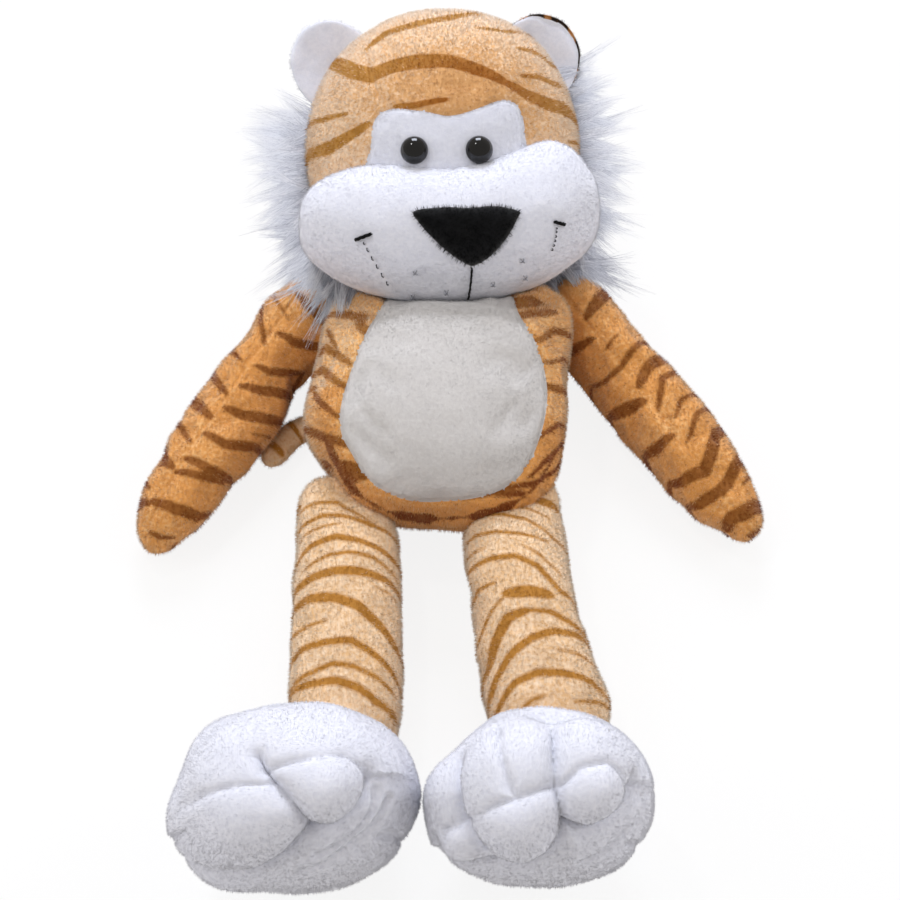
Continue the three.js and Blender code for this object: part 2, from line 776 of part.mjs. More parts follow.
function tailPieces() {
  const hole = rootHole(tail.rootX, tail.rootY, tail.halfDepth - restFlat, middle);
  return {
    tail_cover: [carve(coverOf(tailForm), hole), "tigerPlush"],
    tail_filling: [fillingOf(tailForm), "fibreFill"],
  };
}

// A group of pieces, placed by the form that they are sewn to
function assembly(place, pieces) {
  const group = new THREE.Group();
  place.decompose(group.position, group.quaternion, group.scale);
  const inverse = place.clone().invert();
  for (const [name, [solid, colour]] of Object.entries(pieces)) {
    const mesh = new THREE.Mesh(geometryOf(solid).applyMatrix4(inverse), finish(colour));
    mesh.name = name;
    group.add(mesh);
  }
  return group;
}

const eyes = eyePlaces();
const tiger = new THREE.Group();
tiger.add(assembly(torsoPlace, bodyPieces()));
tiger.add(assembly(headPlace, { ...headPieces(eyes), ...muzzlePieces(eyes), ...faceStitches() }));
for (const side of sides) {
  tiger.add(assembly(headPlace, { ...earPieces(side), ...ruffPiece(side) }));
  tiger.add(assembly(armPlace(side), armPieces(side)));
  tiger.add(assembly(legPlace(side), legPieces(side)));
  tiger.add(assembly(footPlace(side), footPieces(side)));
}
tiger.add(assembly(middle, tailPieces()));

// The toy is moved so that its bounding box stands on the origin
const box = new THREE.Box3().setFromObject(tiger, true);
const centre = box.getCenter(new THREE.Vector3());
tiger.position.set(-centre.x, -centre.y, -box.min.z);

const group = new THREE.Group();
group.add(tiger);
export default group;
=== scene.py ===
# %% [markdown]
# # A plush tiger on its back
#
# The toy is sewn from short plush and stuffed with loose fibre. It lies on its back with its head
# nodding forward. This notebook dresses the toy's solid model in cloth, pile, fur and thread. All the
# sizes are in millimetres, and one function turns them into Blender's metres.

# %% Load the solid model
import bpy
import json
import math
import numpy as np
from mathutils import Euler, Matrix, Vector, noise
from mathutils.bvhtree import BVHTree
from mathutils.geometry import delaunay_2d_cdt

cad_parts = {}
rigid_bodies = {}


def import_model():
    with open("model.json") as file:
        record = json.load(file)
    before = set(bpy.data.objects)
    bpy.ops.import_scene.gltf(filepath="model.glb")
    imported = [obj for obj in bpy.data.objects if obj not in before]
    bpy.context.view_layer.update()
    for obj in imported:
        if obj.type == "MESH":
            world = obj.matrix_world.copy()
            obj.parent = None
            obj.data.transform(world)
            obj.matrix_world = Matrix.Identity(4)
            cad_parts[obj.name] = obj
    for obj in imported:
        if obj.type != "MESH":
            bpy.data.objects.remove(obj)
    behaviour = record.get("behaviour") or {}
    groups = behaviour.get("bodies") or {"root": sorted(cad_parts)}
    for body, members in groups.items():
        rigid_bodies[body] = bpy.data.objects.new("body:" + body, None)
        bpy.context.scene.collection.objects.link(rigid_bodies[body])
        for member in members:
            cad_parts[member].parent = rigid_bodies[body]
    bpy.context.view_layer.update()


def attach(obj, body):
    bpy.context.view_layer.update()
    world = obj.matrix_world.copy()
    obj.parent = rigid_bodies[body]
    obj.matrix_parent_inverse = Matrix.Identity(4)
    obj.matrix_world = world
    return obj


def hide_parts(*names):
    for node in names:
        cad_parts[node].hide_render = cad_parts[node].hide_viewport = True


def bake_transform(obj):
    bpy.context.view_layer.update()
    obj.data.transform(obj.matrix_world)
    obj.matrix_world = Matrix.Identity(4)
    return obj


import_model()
MM = 0.001
sides = ("left", "right")

# %% [markdown]
# ## Camera
#
# The photograph looks down at the toy from beyond its feet, 56 degrees above the floor. The camera
# stands 700 mm from a point on the belly, with a long lens, so the head and feet keep their sizes.

# %% Camera
aim = Vector((0.136, -3.813, 30)) * MM
elevation = math.radians(56)
distance = 700 * MM
focal_pixels, frame_pixels = 1994, 900
camera_data = bpy.data.cameras.new("camera")
camera_data.sensor_width = 36
camera_data.lens = camera_data.sensor_width * focal_pixels / frame_pixels
camera_data.clip_start = 0.01
camera = bpy.data.objects.new("camera", camera_data)
bpy.context.collection.objects.link(camera)
back = Vector((0, -math.cos(elevation), math.sin(elevation)))
camera.location = aim + back * distance
camera.rotation_euler = (math.pi / 2 - elevation, 0, 0)
bpy.context.scene.camera = camera
bpy.context.scene.view_settings.view_transform = "Standard"
print("camera at", [round(v, 3) for v in camera.location])

# %% [markdown]
# ## Light and floor
#
# A large soft lamp stands beyond the head, because the tops of the feet and muzzle are bright in the
# photograph and the sides that face the feet are in soft shade. The world fills the shadows. The floor
# is white for the camera and keeps part of the toy's shadow.

# %% Colours and nodes
def linear(code):
    """A hex colour as the linear values that a shader takes."""
    parts = [int(code[i : i + 2], 16) / 255 for i in (0, 2, 4)]
    return [c / 12.92 if c <= 0.04045 else ((c + 0.055) / 1.055) ** 2.4 for c in parts] + [1]


def add(tree, kind, settings=None, values=None, links=None):
    """One shader node, with its settings, the values of its sockets, and the sockets that feed it."""
    node = tree.nodes.new(kind)
    for name, value in (settings or {}).items():
        setattr(node, name, value)
    for name, value in (values or {}).items():
        node.inputs[name].default_value = value
    for name, socket in (links or {}).items():
        tree.links.new(socket, node.inputs[name])
    return node


def new_material(name):
    """An empty material and its node tree."""
    made = bpy.data.materials.new(name)
    made.use_nodes = True
    made.node_tree.nodes.clear()
    return made, made.node_tree


# %% World, lamps and floor
world = bpy.data.worlds.new("studio")
bpy.context.scene.world = world
world.use_nodes = True
tree = world.node_tree
tree.nodes.clear()
path = add(tree, "ShaderNodeLightPath")
fill = add(tree, "ShaderNodeBackground", values={"Color": linear("fff9f2"), "Strength": 0.57})
white = add(tree, "ShaderNodeBackground", values={"Color": (1, 1, 1, 1), "Strength": 1})
choice = add(tree, "ShaderNodeMixShader",
             links={0: path.outputs["Is Camera Ray"], 1: fill.outputs[0], 2: white.outputs[0]})
add(tree, "ShaderNodeOutputWorld", links={"Surface": choice.outputs[0]})


def lamp(name, place, size, power, colour):
    """A square soft lamp that faces the toy."""
    data = bpy.data.lights.new(name, "AREA")
    data.size = size
    data.energy = power
    data.color = linear(colour)[:3]
    made = bpy.data.objects.new(name, data)
    bpy.context.collection.objects.link(made)
    made.location = place
    made.rotation_euler = (aim - Vector(place)).to_track_quat("-Z", "Y").to_euler()
    return made


lamp("key_lamp", (-0.05, 1.15, 0.86), 0.6, 14, "eaf0ff")
lamp("small_bright_lamp", (-0.45, 0.35, 1.2), 0.12, 2, "ffffff")
for side_lamp in (lamp("left_lamp", (-0.9, -0.1, 0.8), 0.7, 3, "f6f7ff"),
                  lamp("right_lamp", (0.95, 0.1, 0.8), 0.7, 3.4, "f6f7ff")):
    side_lamp.visible_glossy = False

# The camera sees mostly a white glow, and the rest is paper that takes the toy's shadow.
glow_share = 0.86
floor_material, tree = new_material("matte_white_paper")
path = add(tree, "ShaderNodeLightPath")
share = add(tree, "ShaderNodeMath", {"operation": "MULTIPLY"}, {1: glow_share},
            {0: path.outputs["Is Camera Ray"]})
paper = add(tree, "ShaderNodeBsdfPrincipled", values={"Base Color": linear("f4f4f4"), "Roughness": 0.9})
glow = add(tree, "ShaderNodeEmission", values={"Color": (1, 1, 1, 1), "Strength": 1})
mixed = add(tree, "ShaderNodeMixShader", links={0: share.outputs[0], 1: paper.outputs[0], 2: glow.outputs[0]})
add(tree, "ShaderNodeOutputMaterial", links={"Surface": mixed.outputs[0]})


def select_none():
    """Deselects everything, because an operator acts on all that is selected."""
    for other in bpy.context.selected_objects:
        other.select_set(False)


floor_metres, floor_height = 6, -0.0004
select_none()
bpy.ops.mesh.primitive_plane_add(size=floor_metres, location=(0, 0, floor_height))
floor = bpy.context.object
floor.name = "floor"
floor.data.materials.append(floor_material)

# %% [markdown]
# ## The stuffed forms
#
# Each part of a soft toy is a bag that swells and tapers along its length. A form here is a table of
# half widths and half depths at equal steps, with a round end at each side, and these are the numbers
# that the solid model is built from. The cloth lies a little inside the solid's face, and the pile
# makes up the rest. Each form lies along its own Y, with its width along X.

# %% Sizes of the forms
torso = dict(length=100, root=0.36, half_width=46.5, half_depth=30, start=3.6, end=6,
             widths=[0.95, 1, 1, 0.98, 0.97, 0.98], depths=[0.82, 0.94, 1, 1, 0.97, 0.94])
head = dict(length=101, root=0.5, half_width=52, half_depth=46, start=2.1, end=2.25,
            widths=[0.98, 1, 1, 0.98, 0.97], depths=[0.96, 1, 1, 0.98, 0.95])
muzzle = dict(length=109, root=0.5, half_width=27, half_depth=28, start=2.7, end=2.7,
              widths=[0.9, 0.97, 1, 0.97, 0.94], depths=[0.84, 0.96, 1, 0.96, 0.84],
              shift=-6, shifts=[1, 0.4, 0, 0.4, 1])
arm = dict(length=126, root=0, half_width=15, half_depth=14, start=4, end=2.6,
           widths=[1.08, 1.03, 1, 0.98, 0.93, 0.84], depths=[0.9, 0.98, 1, 1, 0.95, 0.88])
leg = dict(length=104, root=0, half_width=18, half_depth=17.5, start=3, end=4,
           widths=[0.98, 1, 0.99, 1.02, 1.08, 1.14], depths=[1, 1, 0.98, 0.98, 1, 1])
foot = dict(length=78, root=0.5, half_width=35.5, half_depth=29, start=2.3, end=2.4,
            widths=[0.9, 1, 1, 1, 0.94], depths=[0.92, 1, 1, 0.96, 0.86])
# The solid model stands over the middle of its box, and the forms are placed from the body's middle.
offset = Vector((-5.864, 8.187, 0))
print("body", torso["length"], "mm long, arm", arm["length"], "mm, leg", leg["length"], "mm")


# %% From a table to a section
def share_at(shares, t):
    """Shares at equal steps, read at t along a smooth curve."""
    s = np.asarray(shares, float)
    p = np.asarray(t, float) * (len(s) - 1)
    i = np.clip(np.floor(p).astype(int), 0, len(s) - 1)
    w = p - i
    before, after, beyond = (np.clip(i + k, 0, len(s) - 1) for k in (-1, 1, 2))
    v0, v1 = (s[after] - s[before]) / 2, (s[beyond] - s[i]) / 2
    cubic = (2 * s[i] - 2 * s[after] + v0 + v1) * w**3
    return cubic + (-3 * s[i] + 3 * s[after] - 2 * v0 - v1) * w**2 + v0 * w + s[i]


def section(size, t, inset=0.0):
    """Place along, half width, half depth and side shift of a form at t, from 0 to 1."""
    t = np.asarray(t, float)
    roundness = np.where(t < 0.5, size["start"], size["end"])
    end = np.maximum(0, 1 - np.abs(2 * t - 1) ** roundness) ** (1 / roundness)
    along = inset - size["length"] * size["root"] + t * (size["length"] - 2 * inset)
    width = (size["half_width"] * share_at(size["widths"], t) - inset) * end
    depth = (size["half_depth"] * share_at(size["depths"], t) - inset) * end
    side = size.get("shift", 0) * share_at(size.get("shifts", [0, 0]), t)
    return along, width, depth, side


print("middle of the head:", [round(float(v), 1) for v in section(head, 0.5)])


# %% Places and points
def at(x, y, z, turn_x=0.0, turn_y=0.0, turn_z=0.0):
    """A place in millimetres with turns in degrees."""
    turns = Euler([math.radians(v) for v in (turn_x, turn_y, turn_z)], "XYZ")
    return Matrix.Translation((x, y, z)) @ turns.to_matrix().to_4x4()


def coordinates(piece):
    """A mesh's points as an array, in millimetres."""
    flat = np.empty(len(piece.data.vertices) * 3, np.float32)
    piece.data.vertices.foreach_get("co", flat)
    return flat.reshape(-1, 3).astype(float) / MM


def move_to(piece, points):
    """Puts a mesh's points at these places in millimetres."""
    piece.data.vertices.foreach_set("co", (points * MM).astype(np.float32).ravel())
    piece.data.update()


def transformed(points, matrix):
    """Points carried by a 4x4 matrix."""
    m = np.array(matrix)
    return points @ m[:3, :3].T + m[:3, 3]


def in_scene(place):
    """The matrix that carries a place's own axes to the scene."""
    return Matrix.Translation(offset) @ place


def unit(ways):
    """Directions made 1 long."""
    return ways / np.maximum(np.linalg.norm(ways, axis=-1, keepdims=True), 1e-9)


def into(points, place):
    """Points of the scene in the place's own axes."""
    return transformed(points, in_scene(place).inverted())


# %% From sections to a form
def choose(piece):
    """Only this piece is selected and active."""
    select_none()
    piece.select_set(True)
    bpy.context.view_layer.objects.active = piece


def new_ball(name, segments, rings):
    """A ball, and its points on a radius of 1 as an array. Every stuffed form starts as one."""
    select_none()
    bpy.ops.mesh.primitive_uv_sphere_add(segments=segments, ring_count=rings, radius=1)
    made = bpy.context.object
    made.name = name
    points = coordinates(made) * MM
    # Blender numbers a new ball's faces differently in each run, so they are put in one order.
    faces = sorted(tuple(face.vertices) for face in made.data.polygons)
    made.data.clear_geometry()
    made.data.from_pydata(points.tolist(), [], faces)
    return made, points


def ring_points(size, t, cos, sin, inset, lengthwise):
    """Points of a form at t along it and at a turn round it. lengthwise turns it to stand on an end."""
    along, width, depth, side = section(size, t, inset)
    points = np.stack([side + width * cos, along, depth * sin], axis=1)
    return points if lengthwise is None else transformed(points, lengthwise)


def form(name, size, place, inset=0.9, segments=64, rings=40, lengthwise=None):
    """A stuffed form: a sphere whose rings are set to the table's widths and depths."""
    made, ball = new_ball(name, segments, rings)
    t = (1 + np.clip(ball[:, 2], -1, 1)) / 2
    out = np.maximum(np.hypot(ball[:, 0], ball[:, 1]), 1e-9)
    pole = np.abs(ball[:, 2]) > 1 - 1e-6
    cos, sin = np.where(pole, 0, ball[:, 0] / out), np.where(pole, 0, -ball[:, 1] / out)
    move_to(made, transformed(ring_points(size, t, cos, sin, inset, lengthwise), in_scene(place)))
    return made


def resting(size, turns, lengthwise=None):
    """How high a form's middle lies, when it is pressed half a millimetre into the floor."""
    t, turn = np.meshgrid((1 - np.cos(np.linspace(0, np.pi, 90))) / 2, np.linspace(0, 2 * np.pi, 90))
    points = ring_points(size, t.ravel(), np.cos(turn.ravel()), np.sin(turn.ravel()), 0.0, lengthwise)
    return -0.5 - transformed(points, at(0, 0, 0, *turns))[:, 2].min()


# %% Where each form lies
def limb(size, x, y, slope, turn):
    """A limb that lies on the floor, sloping down from its root."""
    turns = (-slope, 0, 180 + turn)
    return at(x, y, resting(size, turns), *turns)


torso_place = at(0.5, 0, resting(torso, (5, 0, -7)), 5, 0, -7)
head_place = at(3, 113, resting(head, (30, 3, 3)), 30, 3, 3)
muzzle_place = head_place @ at(1, -37, 30, 0, 0, 3 - 90)
arm_place = {"left": limb(arm, -42.2, 68, 5, -28.5), "right": limb(arm, 45.8, 68, 5, 33)}
heel_up = at(0, 0, 0, 90)
foot_turns = {"left": (18, -15, 0), "right": (20, -9, 0)}
foot_middle = {"left": (-39.5, -147), "right": (34, -148)}
hip_x, ankle_x = {"left": -30, "right": 25}, {"left": -29, "right": 42}
hip_y, leg_slope = -20, 3.5
foot_place, leg_place = {}, {}
for side in sides:
    high = resting(foot, foot_turns[side], heel_up)
    foot_place[side] = at(*foot_middle[side], high, *foot_turns[side])
    swing = math.degrees(math.atan2(ankle_x[side] - hip_x[side], hip_y - foot_middle[side][1]))
    leg_place[side] = limb(leg, hip_x[side], hip_y, leg_slope, swing)
print("torso rests at", round(torso_place.translation.z, 1), "mm, head at", round(head_place.translation.z, 1))

# %% [markdown]
# ## Plumping the cloth
#
# A sewn bag isn't a smooth ball: the filling pushes the cloth out between its seams, and spare cloth
# puckers beside them. So each form becomes a cloth with its seams pinned a little inside, and a gentle
# pressure swells it for twenty steps. No point may move more than 0.5 to 1.5 mm, so that the toy keeps
# its size. Two subdivisions then give the cloth points about a millimetre apart.

# %% Cloth
def apply_modifier(piece, kind, **settings):
    """Adds one modifier with its settings and applies it."""
    choose(piece)
    modifier = piece.modifiers.new(kind.lower(), kind)
    for name, value in settings.items():
        setattr(modifier, name, value)
    bpy.ops.object.modifier_apply(modifier=modifier.name)


def refine(piece):
    """Two rounds of subdivision, which bring the points about a millimetre apart."""
    apply_modifier(piece, "SUBSURF", levels=2, render_levels=2)


def remesh(piece, voxel):
    """Even square faces of about voxel mm all over a closed form."""
    choose(piece)
    piece.data.remesh_voxel_size = voxel * MM
    bpy.ops.object.voxel_remesh()


swell_frames = 20
plush_cloth = dict(quality=6, mass=0.15, tension_stiffness=12, compression_stiffness=12, bending_stiffness=0.4,
                   use_pressure=True, uniform_pressure_force=4, vertex_group_mass="sewn")


def plump(piece, sewn, cap, spare=0.03):
    """Swells the form with Cloth. sewn says how tightly each point is held by a seam, from 0 to 1."""
    start = coordinates(piece)
    held = piece.vertex_groups.new(name="sewn")
    for i in np.nonzero(sewn > 0.02)[0]:
        held.add([int(i)], float(sewn[i]), "REPLACE")
    choose(piece)
    modifier = piece.modifiers.new("cloth", "CLOTH")
    for setting, value in plush_cloth.items():
        setattr(modifier.settings, setting, value)
    modifier.settings.shrink_min = -spare
    modifier.settings.effector_weights.gravity = 0
    for step in range(swell_frames):
        bpy.context.scene.frame_set(step + 1)
    bpy.ops.object.modifier_apply(modifier=modifier.name)
    bpy.context.scene.frame_set(1)
    piece.vertex_groups.clear()
    moved = coordinates(piece) - start
    far = np.linalg.norm(moved, axis=1)
    moved *= (np.minimum(far, cap) / np.maximum(far, 1e-9))[:, None]
    move_to(piece, start + moved)
    return float(far.max())


def tree_of(piece):
    """A search tree over a mesh, in metres."""
    piece.data.calc_loop_triangles()
    corners = [v.co.copy() for v in piece.data.vertices]
    return BVHTree.FromPolygons(corners, [tuple(t.vertices) for t in piece.data.loop_triangles])


# %% Pressing and pushing the cloth
clearance = 0.4


def press_under(piece, tree_there, way):
    """Points that lie inside a neighbour are pressed through to its other side, along one way."""
    points = coordinates(piece)
    way = Vector(way).normalized()
    for i, point in enumerate(points):
        start = Vector(point) * MM
        here, normal, _, _ = tree_there.find_nearest(start)
        if (start - here).dot(normal) > clearance * MM:
            continue
        hit = tree_there.ray_cast(start, way)[0]
        if hit is not None:
            points[i] = np.array(hit + way * clearance * MM) / MM
    move_to(piece, points)


def bell(away, width):
    """1 where away is 0, falling smoothly to nothing within about twice the width."""
    return np.exp(-((away / width) ** 2))


def mould(piece, place, pushes):
    """Pushes of the cloth in a place's axes, each (middle, radius, shift) in millimetres."""
    local = into(coordinates(piece), place)
    shift = np.zeros_like(local)
    for middle, radius, push in pushes:
        away = np.linalg.norm(local - middle, axis=1)
        shift += bell(away, radius)[:, None] * np.array(push, float)
    move_to(piece, transformed(local + shift, in_scene(place)))


def dent(piece, tree_there, depth, reach):
    """Sinks the cloth round a neighbour that rests on it, most where the two meet."""
    points = coordinates(piece)
    for i, point in enumerate(points):
        start = Vector(point) * MM
        here, normal, _, away = tree_there.find_nearest(start)
        gap = 0 if (start - here).dot(normal) < 0 else away / MM
        upper = min(1, max(0, (point[2] - 30) / 20))
        points[i, 2] -= depth * upper * math.exp(-((gap / reach) ** 2))
    move_to(piece, points)


def press_flat(piece, low=0.0):
    """Nothing lies under the floor, so cloth that reaches it is pressed flat."""
    points = coordinates(piece)
    points[:, 2] = np.maximum(points[:, 2], low)
    move_to(piece, points)


# %% Seams and unevenness
def parts_of(line):
    """The start and the run of each straight part of a bent line."""
    line = np.array(line, float)
    return zip(line[:-1], np.diff(line, axis=0))


def share_along(points, start, run):
    """Where on a straight part each point is nearest: 0 at its start, and 1 at its end."""
    return np.clip((points - start) @ run / max(run @ run, 1e-9), 0, 1)


def near_lines(points, lines):
    """Distance of each point from the nearest of some lines."""
    best = np.full(len(points), 1e9)
    for line in lines:
        for start, run in parts_of(line):
            t = share_along(points, start, run)
            best = np.minimum(best, np.linalg.norm(points - start - t[:, None] * run, axis=1))
    return best


def normals_of(piece):
    """The way out of the cloth at each of a mesh's points."""
    flat = np.empty(len(piece.data.vertices) * 3, np.float32)
    piece.data.vertices.foreach_get("normal", flat)
    return flat.reshape(-1, 3).astype(float)


def raise_cloth(piece, height):
    """Moves each point straight out of the cloth by its own height."""
    move_to(piece, coordinates(piece) + normals_of(piece) * height[:, None])


def groove(piece, away, depth, width):
    """Draws the cloth in along a seam. away is each point's distance from the seam."""
    raise_cloth(piece, -depth * bell(away, width))


def ripple(piece, size, height, seed):
    """Soft unevenness of stuffing under cloth: noise of the given size and height."""
    shift = Vector((seed * 17.3, seed * 5.1, seed * 9.7))
    raise_cloth(piece, height * np.array([noise.noise(Vector(p) / size + shift) for p in coordinates(piece)]))


def face_outwards(piece):
    """Turns every face of a closed mesh to point out of it."""
    choose(piece)
    bpy.ops.object.mode_set(mode="EDIT")
    bpy.ops.mesh.select_all(action="SELECT")
    bpy.ops.mesh.normals_make_consistent(inside=False)
    bpy.ops.object.mode_set(mode="OBJECT")


print("cloth swells for", swell_frames, "frames")

# %% [markdown]
# ## Stripes
#
# The plush is printed before it is cut, so the stripes belong to the cloth. Each stripe is a bent line
# on the unrolled part, and a row of the table gives its width and then the line's points. On the tubes
# a point is its turn round the tube in degrees, and its place along it in millimetres. On the head it
# is a longitude and a latitude. The side that faces the floor isn't seen, and carries on the stripes.

# %% Stripes of each part
stripe_rows = {
    "arm_left": """
    2.3: 0,18 23,20 69,32 86,38
    2: 0,38 23,41 48,45 74,48
    2.9: 0,51 23,54 57,59 81,62
    4: -2,64 23,67 60,71 82,73
    2.3: 10,75 23,77 55,82 78,85
    4.4: 0,86 22,89 46,94 72,96
    2.6: 0,101 21,103 49,106
    3.5: 0,112 20,111 66,111
    1.2: 26,13 74,21 95,24
    4.4: 79,12 110,15 141,16 180,12
    3.5: 92,31 122,31 152,27 180,22
    3.2: 95,47 117,46 141,42 180,36
    3.9: 92,57 122,54 157,49 180,46
    4.1: 90,67 122,66 169,59 180,57
    0.9: 145,70 176,65
    3.7: 88,80 121,80 160,73 180,71
    3.5: 81,91 122,91 176,87
    3: 78,97 113,95 158,90
    4: 64,110 115,109 158,106 180,101
    1.8: 87,120 129,119 167,116""",
    "arm_right": """
    5: 180,12 119,18 76,23
    1.2: 95,36 68,38
    2.3: 180,40 110,43 70,47 37,47 0,43
    4.4: 180,50 107,52 85,55 72,57
    2.6: 170,57 110,59 88,65 73,69
    1.8: 180,68 111,70 87,75
    2.1: 175,75 113,78 91,83 78,85
    4.6: 180,84 127,87 93,94 73,97 32,95 0,91
    4.5: 180,98 132,100 95,105 73,106 25,105 0,102
    1.4: 144,106 117,108
    5: 180,116 88,117 57,116 7,117
    3.4: 150,124 90,125 40,124
    1.4: 63,17 40,20
    3.5: 64,31 44,30 0,27
    4.9: 67,63 40,61 0,57
    4.2: 68,80 44,80 0,77""",
    "leg_left": """
    1.6: 10,15 38,13 72,13 103,17 133,22
    2.1: 0,24 23,21 51,19 82,19 110,21 143,24 180,27
    1.2: 20,27 33,25 58,24 85,23
    2.6: 0,40 20,36 45,31 80,29 110,31 135,33 180,37
    1.6: 40,40 52,38 73,36 98,36 126,37 166,42
    3.3: 0,49 28,46 48,44 78,43 110,43 135,44 180,47
    0.9: 126,48 157,50
    3.7: 0,57 17,53 50,52 82,53 107,56 131,61 156,67 180,71
    1.4: 0,64 48,62 72,61
    2.6: 0,73 44,70 73,69 101,69 121,72 152,78 180,82
    1.9: 0,84 19,82 55,79 80,77 104,78 129,81 158,85
    2.8: 0,86 23,83 60,83 84,83 108,85 131,89 174,92
    3.5: 0,12 16,12""",
    "leg_right": """
    1.4: 4,13 42,12 82,14 115,17 140,22
    1.6: 0,19 36,17 75,19 107,22 134,30 180,34
    1.6: 0,25 36,25 68,27 95,29 125,33
    1.2: 0,33 15,31 51,32
    2.1: 0,41 20,37 56,37 82,38 105,43 125,52 180,58
    1.2: 93,34 111,39 132,46
    1.6: 0,48 31,46 56,46
    4.4: 64,51 90,52 115,54
    1.4: 0,66 23,63 46,56 64,52
    4.4: 0,80 29,74 48,66 64,60 86,59
    2.1: 86,59 111,60 141,65 180,68
    2.8: 0,88 29,83 58,74 86,69 111,67 141,68 180,72
    1.2: 110,74 129,75 154,78
    2.6: 0,95 36,88 61,83 86,81 110,82 144,85 175,90
    1.4: 62,92 75,90 90,89
    1.4: 120,92 149,91 176,92
    4: 125,12 140,14 164,16""",
    "torso": """
    2.6: 161,29 151,23 144,17
    3.9: 180,38 160,36 140,31 133,25 126,20
    3.2: 175,22 155,19 143,14 132,8
    3.4: 180,14 158,11 145,5 133,-1
    2.7: 180,8 162,4 145,-7 134,-14
    3.6: 180,-8 169,-11 149,-18 127,-23
    6.1: 156,-27 143,-29 130,-30
    3.4: 180,-20 168,-24
    5.3: 55,42 45,44 20,51
    3.4: 52,35 44,38 20,46
    3: 44,25 36,30 26,36 5,40
    1.8: 36,19 16,27 0,30
    3: 36,10 25,12 5,16
    2.1: 33,-13 28,-7 17,0 0,4
    2.5: 27,-24 22,-17 9,-6 0,-3
    2.5: 36,-30 21,-25 11,-18 0,-9
    3: 48,-34 36,-31 20,-29""",
    "head": """
    4.8: -50,41 -42,49 -24,54 0,60 45,67
    6.4: -90,40 -77,37 -51,28 -39,25 -30,29 -16,31 2,30 18,25 28,20
    5.2: 28,20 39,15 52,12 69,12 90,8
    2.2: 21,52 30,51 44,50 80,50
    2.8: 42,39 56,38 70,34 90,34
    2.6: 37,24 48,25 59,23 90,22
    2.6: -26,9 -15,9 -1,11
    2.3: -90,8 -78,9 -63,8 -49,8
    4.7: -90,-8 -79,-4 -59,-5 -48,-2 -38,2
    1.6: 63,-2 75,0 90,-2
    3: 80,-20 90,-22
    3: -80,-24 -90,-26""",
    "tail": """
    3.2: 0,7 180,9
    3: 0,17 180,16
    3.4: 0,27 180,29
    3.2: 0,38 180,37
    3.4: 0,48 180,47
    2.4: 0,57 180,56
    2.6: 30,68 150,66""",
}


def read_stripe(row):
    """A row of text as the stripe's width and the points of its line."""
    width, line = row.split(":")
    return float(width), [tuple(float(v) for v in point.split(",")) for point in line.split()]


stripes = {part: [read_stripe(row) for row in rows.strip().splitlines()] for part, rows in stripe_rows.items()}
print({part: len(rows) for part, rows in stripes.items()})


# %% Reading the stripes
def stripe_share(flat, rows, soft=1.1):
    """How much of each unrolled point is stripe, from 0 to 1. Ends of a stripe are narrower."""
    share = np.zeros(len(flat))
    for width, line in rows:
        steps = np.linalg.norm(np.diff(np.array(line, float), axis=0), axis=1)
        length = max(steps.sum(), 1e-6)
        walked = 0.0
        for (start, run), step in zip(parts_of(line), steps):
            t = share_along(flat, start, run)
            away = np.linalg.norm(flat - start - t[:, None] * run, axis=1)
            place = (walked + t * step) / length
            half = width / 2 * (0.45 + 0.62 * np.sin(np.pi * place) ** 0.45)
            share = np.maximum(share, np.clip((half + soft - away) / (2 * soft), 0, 1))
            walked += step
    return share


def unrolled(points, size, place):
    """Points as millimetres round a tube and along it. The under side mirrors the top."""
    local = into(points, place)
    turn = np.abs(np.arctan2(local[:, 2] / size["half_depth"], local[:, 0] / size["half_width"]))
    return np.stack([turn * size["half_width"], local[:, 1]], axis=1)


def tube_stripes(points, name, size, place):
    """Stripes of a tube-shaped part at these points."""
    scale = math.radians(1) * size["half_width"]
    rows = [(width, [(turn * scale, along) for turn, along in line]) for width, line in stripes[name]]
    return stripe_share(unrolled(points, size, place), rows)


ball_radius = 50


def on_ball(longitude, latitude):
    """A place on the head's ball."""
    a, b = np.radians(longitude), np.radians(latitude)
    return np.stack([np.sin(a) * np.cos(b), np.sin(b), np.cos(a) * np.cos(b)], axis=-1) * ball_radius


def head_stripes(points):
    """Stripes of the head at these points. The back of the head mirrors the face."""
    local = into(points, head_place)
    local[:, 2] = np.abs(local[:, 2])
    local *= ball_radius / np.maximum(np.linalg.norm(local, axis=1), 1e-6)[:, None]
    rows = [(w, [tuple(on_ball(lon, lat)) for lon, lat in line]) for w, line in stripes["head"]]
    return stripe_share(local, rows, 0.7)


def store(piece, name, values):
    """Keeps one number for each point, for the material to read."""
    attribute = piece.data.attributes.get(name) or piece.data.attributes.new(name, "FLOAT", "POINT")
    attribute.data.foreach_set("value", values.astype(np.float32))


print("first stripe of the head:", stripes["head"][0])

# %% [markdown]
# ## Plush materials
#
# Short plush is a knitted backing with a dense pile of fine fibres, about 2 mm long. Seen from a metre
# away it gives a soft, finely mottled surface with no gloss, and a pale bloom where it is seen edge on.
# The backing gets a tufted noise, a bump and some sheen. The pile is real geometry: many thin spikes in
# three to five tones of one colour, so that it stands out along every edge. The spikes are coarser than
# the real fibres, so that they show in the picture.

